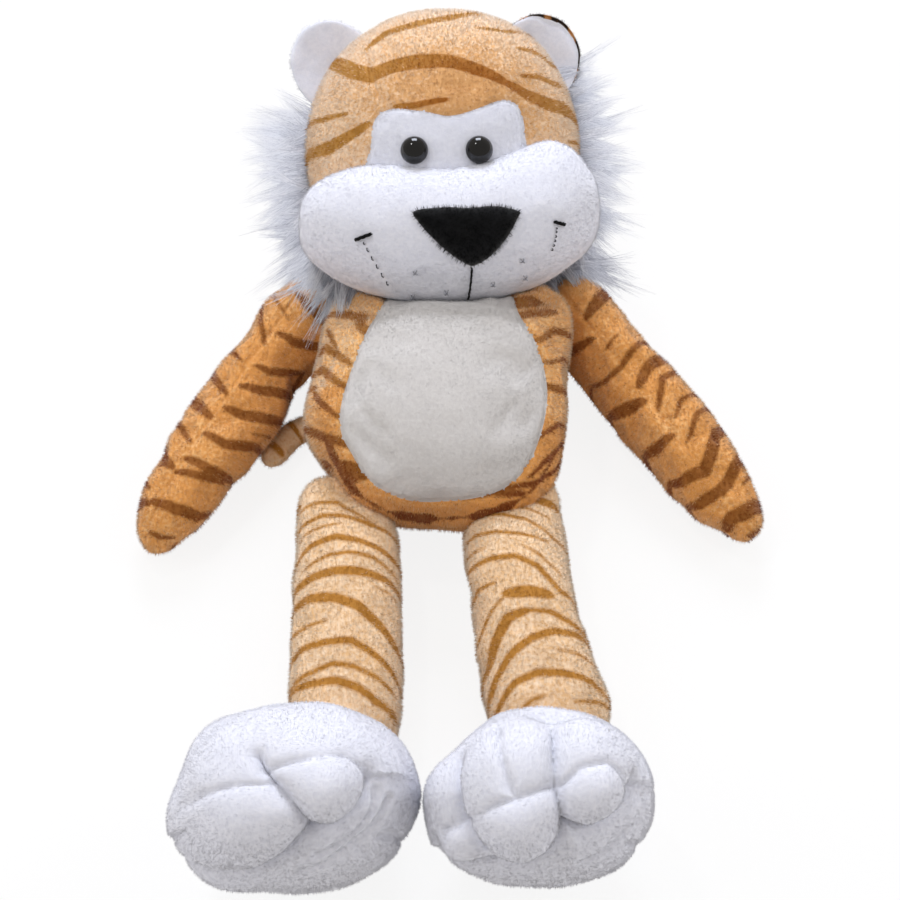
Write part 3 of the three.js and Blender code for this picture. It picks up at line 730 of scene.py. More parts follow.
# %% Materials for cloth and pile
def plush(name, deep, mid, pale, printed=None):
    """The knitted backing: three tones in fine tufts, with printed stripes where there are some."""
    tuft_size, patch_size = 1.3 * MM, 16 * MM
    made, tree = new_material(name)
    where = add(tree, "ShaderNodeTexCoord").outputs["Object"]
    tuft = add(tree, "ShaderNodeTexNoise", {}, {"Scale": 1 / tuft_size, "Detail": 2.0}, {"Vector": where})
    patch = add(tree, "ShaderNodeTexNoise", {}, {"Scale": 1 / patch_size, "Detail": 1.0}, {"Vector": where})
    both = add(tree, "ShaderNodeMath", {"operation": "MULTIPLY_ADD"}, {1: 0.3},
               {0: patch.outputs["Fac"], 2: tuft.outputs["Fac"]})
    # A stored value deepens the tones. On the body it also holds painted shade along the lower edge.
    deep_tone_and_shade_node = add(tree, "ShaderNodeAttribute", {"attribute_name": "warm"})
    cooled = add(tree, "ShaderNodeMath", {"operation": "MULTIPLY_ADD"}, {1: -0.4},
                 {0: deep_tone_and_shade_node.outputs["Fac"], 2: both.outputs[0]})
    ramp = add(tree, "ShaderNodeValToRGB", links={"Fac": cooled.outputs[0]})
    ramp.color_ramp.elements[0].position = 0.42
    ramp.color_ramp.elements[0].color = linear(deep)
    ramp.color_ramp.elements[1].position = 0.9
    ramp.color_ramp.elements[1].color = linear(pale)
    ramp.color_ramp.elements.new(0.66).color = linear(mid)
    colour = ramp.outputs["Color"]
    if printed:
        mark = add(tree, "ShaderNodeAttribute", {"attribute_name": "stripe"})
        rough = add(tree, "ShaderNodeMath", {"operation": "MULTIPLY_ADD"}, {1: 0.5},
                    {0: tuft.outputs["Fac"], 2: mark.outputs["Fac"]})
        edge = add(tree, "ShaderNodeMapRange", {}, {"From Min": 0.5, "From Max": 1.0},
                   {"Value": rough.outputs[0]})
        dye = add(tree, "ShaderNodeValToRGB", links={"Fac": deep_tone_and_shade_node.outputs["Fac"]})
        dye.color_ramp.elements[0].color = linear(printed[0])
        dye.color_ramp.elements[1].color = linear(printed[1])
        ink = add(tree, "ShaderNodeMix", {"data_type": "RGBA"}, {},
                  {0: edge.outputs[0], 6: colour, 7: dye.outputs["Color"]})
        colour = ink.outputs[2]
    bump = add(tree, "ShaderNodeBump", {}, {"Strength": 0.25, "Distance": 0.25 * MM},
               {"Height": tuft.outputs["Fac"]})
    cloth = add(tree, "ShaderNodeBsdfPrincipled", {}, {
        "Roughness": 0.95, "Sheen Weight": 0.3, "Sheen Roughness": 0.5, "Specular IOR Level": 0.15,
    }, {"Base Color": colour, "Normal": bump.outputs[0]})
    add(tree, "ShaderNodeOutputMaterial", links={"Surface": cloth.outputs[0]})
    return made


def hair(name, code):
    """Long fine hair lets part of the light through, so a lock glows where it is thin."""
    made, tree = new_material(name)
    solid = add(tree, "ShaderNodeBsdfPrincipled", {},
                {"Base Color": linear(code), "Roughness": 0.55, "Specular IOR Level": 0.3})
    through = add(tree, "ShaderNodeBsdfTranslucent", {}, {"Color": linear(code)})
    mixed = add(tree, "ShaderNodeMixShader", {}, {0: 0.3}, {1: solid.outputs[0], 2: through.outputs[0]})
    add(tree, "ShaderNodeOutputMaterial", links={"Surface": mixed.outputs[0]})
    return made


def fibre(name, code, sheen=0.12):
    """One tone of pile. Its colour is plain, and the pattern is in where each fibre stands."""
    made, tree = new_material(name)
    strand = add(tree, "ShaderNodeBsdfPrincipled", {}, {
        "Base Color": linear(code), "Roughness": 0.9, "Sheen Weight": sheen, "Sheen Roughness": 0.5,
        "Specular IOR Level": 0.1})
    add(tree, "ShaderNodeOutputMaterial", links={"Surface": strand.outputs[0]})
    return made


def tones(name, codes, sheen=0.12):
    """Pile in several tones of one colour, from deep to pale."""
    return [fibre(f"{name}_pile_{i + 1}", code, sheen) for i, code in enumerate(codes.split())]


peach_plush = plush("peach_polyester_plush", "dd9b54", "eeb979", "f4d2a8", ("a87436", "80400f"))
peach_pile = tones("peach", "e29d56 ebb072 f0c290 f3d2ae f6dfc6")
brown_pile = tones("brown_print", "7e3200 8f4102 a5580c ba7622 c68e40")
head_plush = plush("pale_peach_plush", "dfab72", "f1cca4", "f7dec2", ("bf8c44", "9c560f"))
head_pile = tones("pale_peach", "e8ab66 f1be86 f6d1a8 f9ddbf fbe7d3")
tan_pile = tones("tan_print", "a75204 b3680e c08023 c89238 cea14e")
leg_plush = plush("cream_peach_plush", "e6bc8a", "f3d2ac", "f9e2c6", ("bd863a", "9c5c1c"))
leg_pile = tones("cream_peach", "ecbd86 f3cb9c f8d8b0 fbe2c4 fdebd4")
gold_pile = tones("gold_print", "9e5a12 b06e1c c2842c cc933e d4a250")
white_plush = plush("white_polyester_plush", "dbdde7", "e0e2eb", "e6e7ef")
white_pile = tones("white", "dcdee8 dfe1ea e2e4ec e5e6ef e8e9f2")
cream_plush = plush("cream_polyester_plush", "c6c3c0", "cbc8c5", "d0cecb")
cream_pile = tones("off_white", "c8c5c2 cbc8c5 cecbc9 d1cfcc d4d2d0")
black_plush = plush("black_polyester_plush", "030305", "060709", "0a0b0e")
black_pile = tones("black", "020203 040506 08090b", 0.04)
ear_plush = plush("brown_striped_plush", "8e5c30", "a9733f", "bd8a55", ("22150b", "22150b"))
ear_pile = tones("ear_tan", "9b693a b27e4b c79764")
dark_pile = tones("dark_print", "120b06 24160b 3a2413")
# The greyer tones of the white fur are painted shade among the hairs.
fur_tones_and_painted_shade = [hair(f"long_white_fur_{i + 1}", code) for i, code in enumerate("a0a1a9 c2c2c8 dcdce0 f3f3f5".split())]
print(len(bpy.data.materials), "materials")


# %% Places for the pile
# The side that faces the floor isn't seen, so it gets less pile.
under_share = 0.3
# Fibres lower than this are pressed on the floor, and those deeper in a neighbour are hidden, in millimetres.
pressed_height, hidden_depth = 0.8, 0.8


def spread_over(skin, name, weights, corners):
    """A skin's stored value at places inside its triangles, or 0 where it has none."""
    mark = skin.data.attributes.get(name)
    if mark is None:
        return np.zeros(len(weights))
    values = np.empty(len(skin.data.vertices), np.float32)
    mark.data.foreach_get("value", values)
    return (weights * values[corners]).sum(axis=1)


def surface_points(skin, density, rng):
    """Places all over a skin, with the skin's normal, its stripe and its deeper tone at each. On the body both
    also carry painted shade.
    """
    points, normals = coordinates(skin), normals_of(skin)
    skin.data.calc_loop_triangles()
    corners = np.empty(len(skin.data.loop_triangles) * 3, np.int32)
    skin.data.loop_triangles.foreach_get("vertices", corners)
    corners = corners.reshape(-1, 3)
    a, b, c = (points[corners[:, k]] for k in range(3))
    crossed = np.cross(b - a, c - a)
    areas = np.linalg.norm(crossed, axis=1) / 2
    areas = np.where(crossed[:, 2] < -0.5 * areas, areas * under_share, areas)
    count = int(areas.sum() * density)
    picked = rng.choice(len(corners), size=count, p=areas / areas.sum())
    r1, r2 = np.sqrt(rng.random(count)), rng.random(count)
    weights = np.stack([1 - r1, r1 * (1 - r2), r1 * r2], axis=1)
    roots = np.einsum("nk,nkj->nj", weights, points[corners[picked]])
    out = unit(np.einsum("nk,nkj->nj", weights, normals[corners[picked]]))
    return roots, out, *(spread_over(skin, name, weights, corners[picked]) for name in ("stripe", "warm"))


def seen_roots(roots, out, inside, bare):
    """Which roots aren't pressed on the floor, inside a neighbour or under a stitch."""
    keep = (roots[:, 2] > pressed_height) | (out[:, 2] > -0.4)
    for tree_there in inside:
        for i in np.nonzero(keep)[0]:
            root = Vector(roots[i]) * MM
            here, normal, _, _ = tree_there.find_nearest(root)
            if (root - here).dot(normal) < -hidden_depth * MM:
                keep[i] = False
    if bare is not None:
        keep &= ~bare(roots)
    return keep


# %% Making and dressing a piece
def mesh_from(name, points, faces, materials, slots, normals=None):
    """A mesh from arrays of points in millimetres and triangles."""
    data = bpy.data.meshes.new(name)
    data.vertices.add(len(points))
    data.vertices.foreach_set("co", (points * MM).astype(np.float32).ravel())
    data.loops.add(len(faces) * 3)
    data.loops.foreach_set("vertex_index", faces.astype(np.int32).ravel())
    data.polygons.add(len(faces))
    data.polygons.foreach_set("loop_start", np.arange(len(faces), dtype=np.int32) * 3)
    for material in materials:
        data.materials.append(material)
    data.polygons.foreach_set("material_index", np.asarray(slots, np.int32))
    data.update(calc_edges=True)
    if normals is not None:
        data.normals_split_custom_set_from_vertices(unit(normals).tolist())
    made = bpy.data.objects.new(name, data)
    bpy.context.collection.objects.link(made)
    return made


def dress(piece, material, body, nodes=(), joint=None):
    """Gives a finished piece its material, and its body unless it has a joint. joint is (first body, start, end).
    """
    if material is not None:
        piece.data.materials.clear()
        piece.data.materials.append(material)
        choose(piece)
        bpy.ops.object.shade_smooth()
    if joint:
        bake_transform(piece)
    else:
        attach(piece, body)
    if nodes:
        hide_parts(*nodes)


# %% Pile
def three_ways(aside, above):
    """Three directions round a strand, a third of a turn apart."""
    turns = [2 * math.pi * k / 3 for k in range(3)]
    return [aside * math.cos(turn) + above * math.sin(turn) for turn in turns]


fibre_radius = 0.11
# A spike has four triangles, which keeps each piece of pile under 200,000 of them.
most_fibres = 48000


def grow(name, skin, tints, body, slot_name, seed, nap=(0, -1, 0), density=3.3, length=1.25, lean=0.45,
         print_tints=None, bare=None, inside=(), joint=None, grain=0.3):
    """Pile: thin spikes all over a skin, in the skin's colours, leaning along the nap.

    grain is how far the light follows the spikes. White pile follows the skin, and drops no shadows.
    """
    rng = np.random.default_rng(seed)
    roots, out, shares, warm = surface_points(skin, density, rng)
    keep = seen_roots(roots, out, inside, bare)
    roots, out, shares, warm = roots[keep], out[keep], shares[keep], warm[keep]
    count = len(roots)
    flow = np.asarray(nap, float) + rng.normal(0, 0.4, (count, 3))
    flow -= out * (flow * out).sum(axis=1)[:, None]
    reach = unit(out + flow * lean)
    tips = roots + reach * (length * rng.uniform(0.7, 1.15, count))[:, None]
    tips[:, 2] = np.maximum(tips[:, 2], 0.1)
    side = unit(np.cross(reach, out + rng.normal(0, 0.3, (count, 3))))
    wide = fibre_radius * rng.uniform(0.75, 1.25, count)
    spikes = np.empty((count, 4, 3))
    for k, way in enumerate(three_ways(side, np.cross(reach, side))):
        spikes[:, k] = roots - out * 0.3 + way * wide[:, None]
    spikes[:, 3] = tips
    tone = np.round((1 - warm) * (len(tints) - 1.5) + rng.normal(0, 0.8, count))
    tone = np.clip(tone, 0, len(tints) - 1).astype(int)
    materials = list(tints)
    if print_tints:
        printed = shares + rng.normal(0, 0.3, count) > 0.5
        tone = np.where(printed, len(tints) + np.maximum(tone - 1, 0), tone)
        materials += list(print_tints)
    order = np.array([[0, 1, 3], [1, 2, 3], [2, 0, 3], [0, 2, 1]])
    soft = out + reach * grain
    parts = math.ceil(count / most_fibres)
    for part in range(parts):
        some = slice(part, None, parts)
        number = len(spikes[some])
        faces = (np.arange(number)[:, None, None] * 4 + order).reshape(-1, 3)
        piece = mesh_from(f"{name}_{part + 1}", spikes[some].reshape(-1, 3), faces, materials,
                          np.repeat(tone[some], 4), np.repeat(soft[some], 4, axis=0))
        piece.visible_shadow = grain > 0.1
        dress(piece, None, body, joint=joint)
    print(name, count, "fibres in", parts, "pieces")


print("pile up to", most_fibres, "fibres a piece")

# %% [markdown]
# ## Head
#
# The head is a ball of pale peach plush. A white patch is let in round the eyes, with a dip in its top
# edge, and a seam runs up the crown beside the middle. The patch is cut from the finished ball, so both
# cloths meet in one seam.

# %% Head
half_patch, patch_height, patch_low = 27, 15, -6.5
patch_shares = [(-0.98, -1), (-1.04, 0.1), (-0.98, 0.66), (-0.76, 0.86), (-0.34, 0.74), (0, 0.62),
                (0.32, 0.78), (0.74, 1.08), (0.95, 0.88), (1.02, 0.2), (0.96, -1)]
patch_outline = [(x * half_patch, y * patch_height + patch_low) for x, y in patch_shares]
crown_seam = [tuple(on_ball(lon, lat)) for lon, lat in [(-75, 62), (-50, 41), (-39, 25), (-34, 14)]]


def smooth_outline(points, steps=6):
    """A closed outline through points, rounded with a smooth curve."""
    points = np.array(points, float)
    rows = []
    for i in range(len(points)):
        p0, p1, p2, p3 = (points[(i + k) % len(points)] for k in (-1, 0, 1, 2))
        for j in range(steps):
            t = j / steps
            rows.append(0.5 * (2 * p1 + (p2 - p0) * t + (2 * p0 - 5 * p1 + 4 * p2 - p3) * t * t
                               + (3 * p1 - p0 - 3 * p2 + p3) * t**3))
    return np.array(rows)


def inside_outline(flat, outline):
    """Distance of each flat point from an outline, positive inside."""
    closed = np.vstack([outline, outline[:1]])
    away = near_lines(flat, [closed])
    x, y = flat[:, 0], flat[:, 1]
    crossings = np.zeros(len(flat), int)
    for (x1, y1), (x2, y2) in zip(closed[:-1], closed[1:]):
        spans = (y1 > y) != (y2 > y)
        crossing = (x2 - x1) * (y - y1) / np.where(y2 == y1, 1e-9, y2 - y1) + x1
        crossings += spans & (x < crossing)
    return np.where(crossings % 2 == 1, away, -away)


def panel_depth(points, place, outline, lowest):
    """How far inside a panel each point lies. The outline is drawn on the place, and cuts above lowest."""
    local = into(points, place)
    return np.where(local[:, 2] > lowest, inside_outline(local[:, :2], smooth_outline(outline)), -99)


def patch_depth(points):
    """How far inside the eye patch each point lies."""
    return panel_depth(points, head_place, patch_outline, 0)


def crown_away(points):
    """Distance from the seam up the crown."""
    local = into(points, head_place)
    return near_lines(local * (ball_radius / np.linalg.norm(local, axis=1))[:, None], [crown_seam])


# %% Shaping the head
head_skin = form("head_skin", head, head_place)
remesh(head_skin, 4)
at_crown = bell(crown_away(coordinates(head_skin)), 3)
at_patch = bell(np.abs(patch_depth(coordinates(head_skin))), 3)
swelled = plump(head_skin, np.maximum(at_crown, 0.7 * at_patch), 0.6)
mould(head_skin, head_place, [((0, 49, 0), 30, (0, 2, 0)), ((27, 40, 0), 18, (1.5, 2, 0))])
press_flat(head_skin)
refine(head_skin)
ripple(head_skin, 16, 0.5, 1)
groove(head_skin, crown_away(coordinates(head_skin)), 0.7, 0.9)
groove(head_skin, np.abs(patch_depth(coordinates(head_skin))), 0.7, 0.9)
press_flat(head_skin)
store(head_skin, "stripe", head_stripes(coordinates(head_skin)))
# The plush over the brow is a warmer orange than the rest of the head.
brow_middle, brow_reach = (6, 12, 44), (27, 17, 30)
brow = np.linalg.norm((into(coordinates(head_skin), head_place) - brow_middle) / brow_reach, axis=1)
store(head_skin, "warm", 0.05 + 0.85 * bell(brow, 1))
head_tree = tree_of(head_skin)
print("head swelled", round(swelled, 2), "mm")


# %% Cutting out the patch
settle_reach, settle_step = 0.45, 0.05


def settle_on(piece, depth_of):
    """Slides the points beside an outline onto it, so that a cut along it is smooth."""
    points = coordinates(piece)
    deep = depth_of(points)
    near = np.abs(deep) < settle_reach
    rises = [depth_of(points[near] + step) - deep[near] for step in np.eye(3) * settle_step]
    slope = np.stack(rises, axis=1) / settle_step
    points[near] -= slope * (deep[near] / np.maximum((slope**2).sum(axis=1), 0.1))[:, None]
    move_to(piece, points)


def cut_out(piece, name, depth_of):
    """Separates the faces that lie inside an outline as a piece of its own."""
    settle_on(piece, depth_of)
    choose(piece)
    middles = np.array([f.center for f in piece.data.polygons]) / MM
    inner = depth_of(middles) > 0
    bpy.ops.object.mode_set(mode="EDIT")
    bpy.ops.mesh.select_mode(type="FACE")
    bpy.ops.mesh.select_all(action="DESELECT")
    bpy.ops.object.mode_set(mode="OBJECT")
    piece.data.polygons.foreach_set("select", inner)
    bpy.ops.object.mode_set(mode="EDIT")
    bpy.ops.mesh.separate(type="SELECTED")
    bpy.ops.object.mode_set(mode="OBJECT")
    made = next(o for o in bpy.context.selected_objects if o is not piece)
    made.name = name
    return made


patch_skin = cut_out(head_skin, "eye_patch_skin", patch_depth)
print("head points", len(head_skin.data.vertices), "patch points", len(patch_skin.data.vertices))

# %% [markdown]
# ## Muzzle
#
# The muzzle is a wide white bean, fuller at both cheeks. It swells over the lower edge of the eye patch
# and hides the lowest part of each eye.

# %% Muzzle
muzzle_skin = form("muzzle_skin", muzzle, muzzle_place)
remesh(muzzle_skin, 3.5)
swelled = plump(muzzle_skin, np.zeros(len(muzzle_skin.data.vertices)), 0.5)
mould(muzzle_skin, muzzle_place, [((-25, 39, 6), 15, (-6.5, 1, 0)), ((-26, -2, 12), 16, (2, 0, 0)),
                                  ((0, -53, 5), 20, (0, -1.5, 0))])
refine(muzzle_skin)
ripple(muzzle_skin, 12, 0.5, 2)
muzzle_tree = tree_of(muzzle_skin)
print("muzzle swelled", round(swelled, 2), "mm,", len(muzzle_skin.data.vertices), "points")

# %% [markdown]
# ## Body
#
# The body is a pillow, boxy at the shoulders. The off-white belly panel is let into its front. The chin
# presses on it, so its top is flattened under the muzzle.

# %% Body
belly_outline = [(-17, 80), (-18, 60), (-21.5, 47), (-27, 28), (-31, 8), (-30.3, -3.6), (-25.5, -11),
                 (-18, -19.5), (-4.7, -25), (11.6, -23.5), (26.6, -18.5), (35, -9.3), (39, 6), (38, 19.5),
                 (32.3, 33), (24, 44), (19, 60), (18, 80)]
# The panel's outline is drawn as the camera sees it, from 34 degrees nearer to the feet.
belly_view = torso_place @ at(0, 0, 0, 34)


def belly_depth(points):
    """How far inside the belly panel each point lies."""
    return panel_depth(points, belly_view, belly_outline, -20)


# %% Shaping the body
body_skin = form("body_skin", torso, torso_place)
remesh(body_skin, 4)
swelled = plump(body_skin, 0.8 * bell(np.abs(belly_depth(coordinates(body_skin))), 3), 1.5)
mould(body_skin, torso_place, [((-42, -31, 0), 17, (4, 5, 0)), ((44, -31, 4), 13, (3, -4, 0)),
                               ((-16, -35, 0), 17, (0, -4, 0)), ((22, -35, 0), 17, (0, -3, 0))])
dent(body_skin, muzzle_tree, 11, 13)
press_under(body_skin, head_tree, (0, -1, -0.35))
press_under(body_skin, muzzle_tree, (0, -0.3, -1))
press_flat(body_skin)
refine(body_skin)
ripple(body_skin, 15, 0.7, 3)
groove(body_skin, np.abs(belly_depth(coordinates(body_skin))), 0.9, 0.9)
press_flat(body_skin)
print("body swelled", round(swelled, 2), "mm")

# %% Print and painted shade of the body
# A dark stripe of uneven width runs 6.4 mm beyond the panel's lower edge: part print, part painted shadow.
points = coordinates(body_skin)
hem = belly_depth(points)
local = into(points, belly_view)
uneven = 1.2 + 0.9 * np.sin(local[:, 0] * 0.24 + 2) + 0.4 * np.sin(local[:, 0] * 0.7)
print_and_shadow_band = np.clip((uneven - np.abs(hem + 6.4)) / 1.6 + 0.5, 0, 1) * (local[:, 1] < -6)
# Painted shadow: the body's stripe value holds both its print and this shadow line.
store(body_skin, "stripe", np.maximum(print_and_shadow_band, tube_stripes(points, "torso", torso, torso_place)))
local = into(points, torso_place)
# Painted shade: beside the panel's lower seam, where the body turns under away from the light, the plush is a
# deeper orange. It is also deeper towards the right side.
painted_shade_low_edge = bell(hem + 6, 7) * (local[:, 1] < 0)
store(body_skin, "warm", np.clip(0.14 + 0.004 * local[:, 0] + 0.6 * painted_shade_low_edge, 0, 0.85))
body_tree = tree_of(body_skin)
belly_skin = cut_out(body_skin, "belly_panel_skin", belly_depth)
print("body points", len(body_skin.data.vertices), "panel points", len(belly_skin.data.vertices))

# %% [markdown]
# ## Arms and legs
#
# Each limb is a tube of striped plush with a seam down its front, pinched where it meets the body. The
# limb's cloth is sewn to the body.

# %% Arms and legs
limbs = {}
for side in sides:
    limbs[f"arm_{side}"] = (arm, arm_place[side])
    limbs[f"leg_{side}"] = (leg, leg_place[side])
seam_turn = {"arm_left": 82, "arm_right": 72, "leg_left": -90, "leg_right": -90}


def limb_seam_away(points, name):
    """Distance of points from a limb's seams, along the top and the under side."""
    size, place = limbs[name]
    local = into(points, place)
    turn = np.degrees(np.arctan2(local[:, 2] / size["half_depth"], local[:, 0] / size["half_width"]))
    away = np.full(len(points), 99.0)
    for seam in (seam_turn[name], -90):
        gap = (turn - seam + 180) % 360 - 180
        away = np.minimum(away, np.abs(np.radians(gap)) * size["half_width"])
    return away


full_hand = [((16, 100, 0), 26, (1.8, 0, 0)), ((-16, 100, 0), 26, (-1.8, 0, 0)), ((0, 124, 0), 12, (0, -2, 0))]
hip_fold = [((0, 14, 17), 15, (0, 0, -6))]
limb_pushes = {
    "arm_left": full_hand + [((-15, 42, 0), 8, (4, 0, 0)), ((-16, 26, 0), 9, (-2, 0, 0)),
                             ((-16, 57, 0), 8, (-1.4, 0, 0))],
    "arm_right": full_hand,
    "leg_left": hip_fold + [((17, 8, 4), 12, (4, -4, 0))],
    "leg_right": hip_fold + [((-17, 8, 4), 12, (-4, -4, 0)), ((-19, 92, 4), 22, (-4, 0, 0))],
}

# %% Shaping the limbs
limb_skins = {}
for name, (size, place) in limbs.items():
    skin = form(f"{name}_skin", size, place, inset=0.4)
    mould(skin, place, limb_pushes[name])
    remesh(skin, 3.5)
    swelled = plump(skin, 0.9 * bell(limb_seam_away(coordinates(skin), name), 2.5), 1.5, spare=0.05)
    press_flat(skin)
    refine(skin)
    ripple(skin, 10, 0.9, seed=len(name) + name.endswith("left"))
    groove(skin, limb_seam_away(coordinates(skin), name), 0.6, 0.8)
    press_flat(skin)
    store(skin, "stripe", tube_stripes(coordinates(skin), name, size, place))
    store(skin, "warm", np.full(len(skin.data.vertices), 0.55 if size is arm else 0.15))
    limb_skins[name] = skin
    print(name, "swelled", round(swelled, 2), "mm,", len(skin.data.vertices), "points")

# %% [markdown]
# ## Feet
#
# Each foot is a big white bag on its heel, with three stuffed toes at its end and a flat sole panel
# towards the camera. The toes swell out of the bag, and the cloth is drawn in along the clefts between them.

# %% Feet
sole_y = -15.5
# Each line lies on the foot, in its own axes. A lobe is (x, y, z, radius, height).
creases = {
    "left": {
        "cleft": [[(-1.9, 9.8, 37.2), (0.4, 4.4, 38.7), (4.4, -1, 38.9), (8.3, -5.8, 37.8), (10.8, -10.6, 35.3),
                   (12.8, -15.1, 31.3)]],
        "seam": [[(-30, -2.5, 23.8), (-20.6, -1.3, 33.5), (-8.1, 0.1, 38.5), (2, 0.1, 39)],
                 [(0.4, 4.4, 38.7), (10.5, 6.4, 37.1), (24, 6.6, 29.5), (29.4, 2.2, 24.8)]],
        "wrinkle": [[(3, -26.1, 17.6), (16.6, -22.2, 19), (28.6, -14.1, 16.5), (33.4, -5.9, 14.6)],
                    [(11, -22.6, 22.5), (20.9, -18.6, 21.1), (29.9, -10.2, 19.4), (32, -3.4, 20.1)]],
        "under": [[(-31.5, -9, 14), (-27.1, -17.2, 12.7), (-19.5, -21.3, 17.6), (-8.4, -23.8, 21.5),
                   (1.9, -21.4, 26.9), (7.9, -18.1, 30), (12.8, -15.1, 31.3), (19, -14, 28.6),
                   (25.3, -9.5, 26.6), (29.2, -3.6, 24.8), (30.1, 1.7, 23.8)]],
        "lobes": [(-12, -11, 35, 15, 5.5), (19, -5, 33, 11, 5), (-14, 14, 32, 12, 2)],
        "pushes": [((-30, -10, 10), 16, (-8, -1, 0)), ((-20, -24, 8), 12, (-6, -3, 0)),
                   ((-24, 20, 10), 12, (-3, 3, 0))],
    },
    "right": {
        "cleft": [[(7.7, 20.8, 26.6), (8.5, 11.4, 35.4), (8.5, 0.6, 38.4), (9.5, -4.6, 37.8), (10.3, -10.5, 35.4)],
                  [(-21.4, 12.5, 28.1), (-22, 2.1, 32.4), (-21.6, -6.1, 31.7), (-18.2, -11, 31.5),
                   (-14.8, -15.6, 29.7)]],
        "seam": [[(-8.6, 19.3, 28.4), (-6.6, 9.5, 36.8), (-4.6, 1.5, 38.8), (-3, -2.1, 38.9)],
                 [(-26.8, -8.7, 25.4), (-20.6, -7.8, 31.7), (-9.3, -3.7, 38), (-3, -2.1, 38.9), (6.8, 0.7, 38.6)],
                 [(10.4, 1.1, 38), (15.4, 5.6, 35.6), (22.7, 6.3, 30.8), (29.5, 0.2, 24.8)]],
        "wrinkle": [[(14, -22, 21), (24, -15, 19), (31, -8, 15)]],
        "under": [[(-29.3, -12.7, 17.2), (-25.3, -17.3, 16.8), (-16, -19.7, 24.1), (-10.7, -19.8, 26.9),
                   (-1.6, -21, 27.5), (4.8, -18.5, 30.3), (9, -14.3, 33.3), (10.4, -11.1, 35.1),
                   (17, -12.5, 31.3), (23.5, -9.2, 28.6), (29.2, -3.6, 24.8), (32.1, 2.4, 20.1)]],
        "lobes": [(-4, -11, 36, 13, 6), (20, -3, 33, 10, 5), (-22, -14, 25, 8, 4), (-7, 12, 35, 13, 4),
                  (20, 15, 29, 13, 4), (-28, 3, 24, 10, 2)],
        "pushes": [((-26, 18, 8), 10, (5, -5, 0)), ((8, 27, 16), 8, (0, -7, -3)), ((0, -29, 0), 20, (0, 3, 0)),
                   ((-26, -16, 12), 10, (-3, -2, 0))],
    },
}


# %% Toes
def below_line(points, line):
    """Distance from a line over the foot, negative on the side of the toes."""
    best, side = np.full(len(points), 1e9), np.zeros(len(points))
    for start, run in parts_of(line):
        nearest = start + share_along(points, start, run)[:, None] * run
        away = np.linalg.norm(points - nearest, axis=1)
        closer = away < best
        best = np.where(closer, away, best)
        side = np.where(closer, np.where(nearest[:, 1] - points[:, 1] > 0, 1, -1), side)
    return best * side


def crease(away, wide, sharp):
    """How deep cloth is drawn in beside a line, by a wide dip and a sharp one, each (depth, reach)."""
    return wide[0] * np.exp(-away / wide[1]) + sharp[0] * np.exp(-away / sharp[1])


def shape_toes(piece, side):
    """Swells the toes, and draws the cloth in along their clefts and under them."""
    rows = creases[side]
    local = into(coordinates(piece), foot_place[side])
    height = np.zeros(len(local))
    for *middle, radius, rise in rows["lobes"]:
        height += rise * bell(np.linalg.norm(local - middle, axis=1), radius)
    height -= crease(near_lines(local, rows["cleft"]), (3, 5), (3.4, 1.4))
    height -= crease(near_lines(local, rows["seam"]), (1.3, 4), (1.6, 0.9))
    height -= 1.5 * bell(near_lines(local, rows["wrinkle"]), 1.6)
    under = below_line(local, rows["under"][0])
    height -= np.where(under > 0, crease(under, (5, 9), (2.5, 1.8)), crease(-under, (2, 5), (5.5, 1.6)))
    raise_cloth(piece, height)


def sole_seam_away(skin, side):
    """Distance from the seam round the sole. It fades out under the toes, above 12 mm."""
    local = into(coordinates(skin), foot_place[side])
    return np.where(local[:, 2] < 12, np.abs(local[:, 1] - sole_y), 99)


# %% Shaping the feet
foot_skins = {}
for side in sides:
    skin = form(f"foot_{side}_skin", foot, foot_place[side], lengthwise=heel_up)
    remesh(skin, 3)
    swelled = plump(skin, 0.9 * bell(sole_seam_away(skin, side), 2.5), 1.2, spare=0.02)
    mould(skin, foot_place[side], creases[side]["pushes"])
    refine(skin)
    shape_toes(skin, side)
    ripple(skin, 12, 0.6, 20 + len(side))
    groove(skin, sole_seam_away(skin, side), 0.9, 1.1)
    press_flat(skin)
    foot_skins[side] = skin
    print("foot", side, "swelled", round(swelled, 2), "mm,", len(skin.data.vertices), "points")
foot_trees = {side: tree_of(skin) for side, skin in foot_skins.items()}
leg_trees = {side: tree_of(limb_skins[f"leg_{side}"]) for side in sides}

# %% [markdown]
# ## Tail
#
# The tail is a thin tube with rounded ends, sewn to the middle of the back. It lies in a bend on the
# floor, so its rings follow the bend.

# %% Tail
tail_route = [(-8, -4), (-21.1, 8.4), (-37.5, 16.2), (-51, 12.8), (-61.3, -1)]
tail_length, tail_half_width, tail_half_depth, tail_height, tail_inset = 75, 5.8, 4.6, 4.1, 0.8


def along_route(route, t):
    """Points on a smooth curve through a route, at shares t of it."""
    columns = np.array(route, float).T
    return np.stack([share_at(column, t) for column in columns], axis=-1)


def tail_form():
    """The tail as rings round its route, with each point's share along it and turn round it."""
    made, ball = new_ball("tail_skin", 32, 80)
    t = (1 + np.clip(ball[:, 2], -1, 1)) / 2
    swell = np.sin(np.pi / 2 * np.minimum(1, np.minimum(t, 1 - t) / 0.12)) ** 0.6
    middle = along_route(tail_route, t)
    after, before = (along_route(tail_route, np.clip(t + step, 0, 1)) for step in (0.01, -0.01))
    run = after - before
    across = np.stack([-run[:, 1], run[:, 0]], axis=1) / np.linalg.norm(run, axis=1)[:, None]
    turn = np.arctan2(ball[:, 1], ball[:, 0])
    out = (tail_half_width - tail_inset) * swell * np.cos(turn)
    points = np.empty((len(t), 3))
    points[:, :2] = middle + across * out[:, None]
    points[:, 2] = tail_height + (tail_half_depth - tail_inset) * swell * np.sin(turn)
    move_to(made, points + np.array(offset))
    return made, t, turn


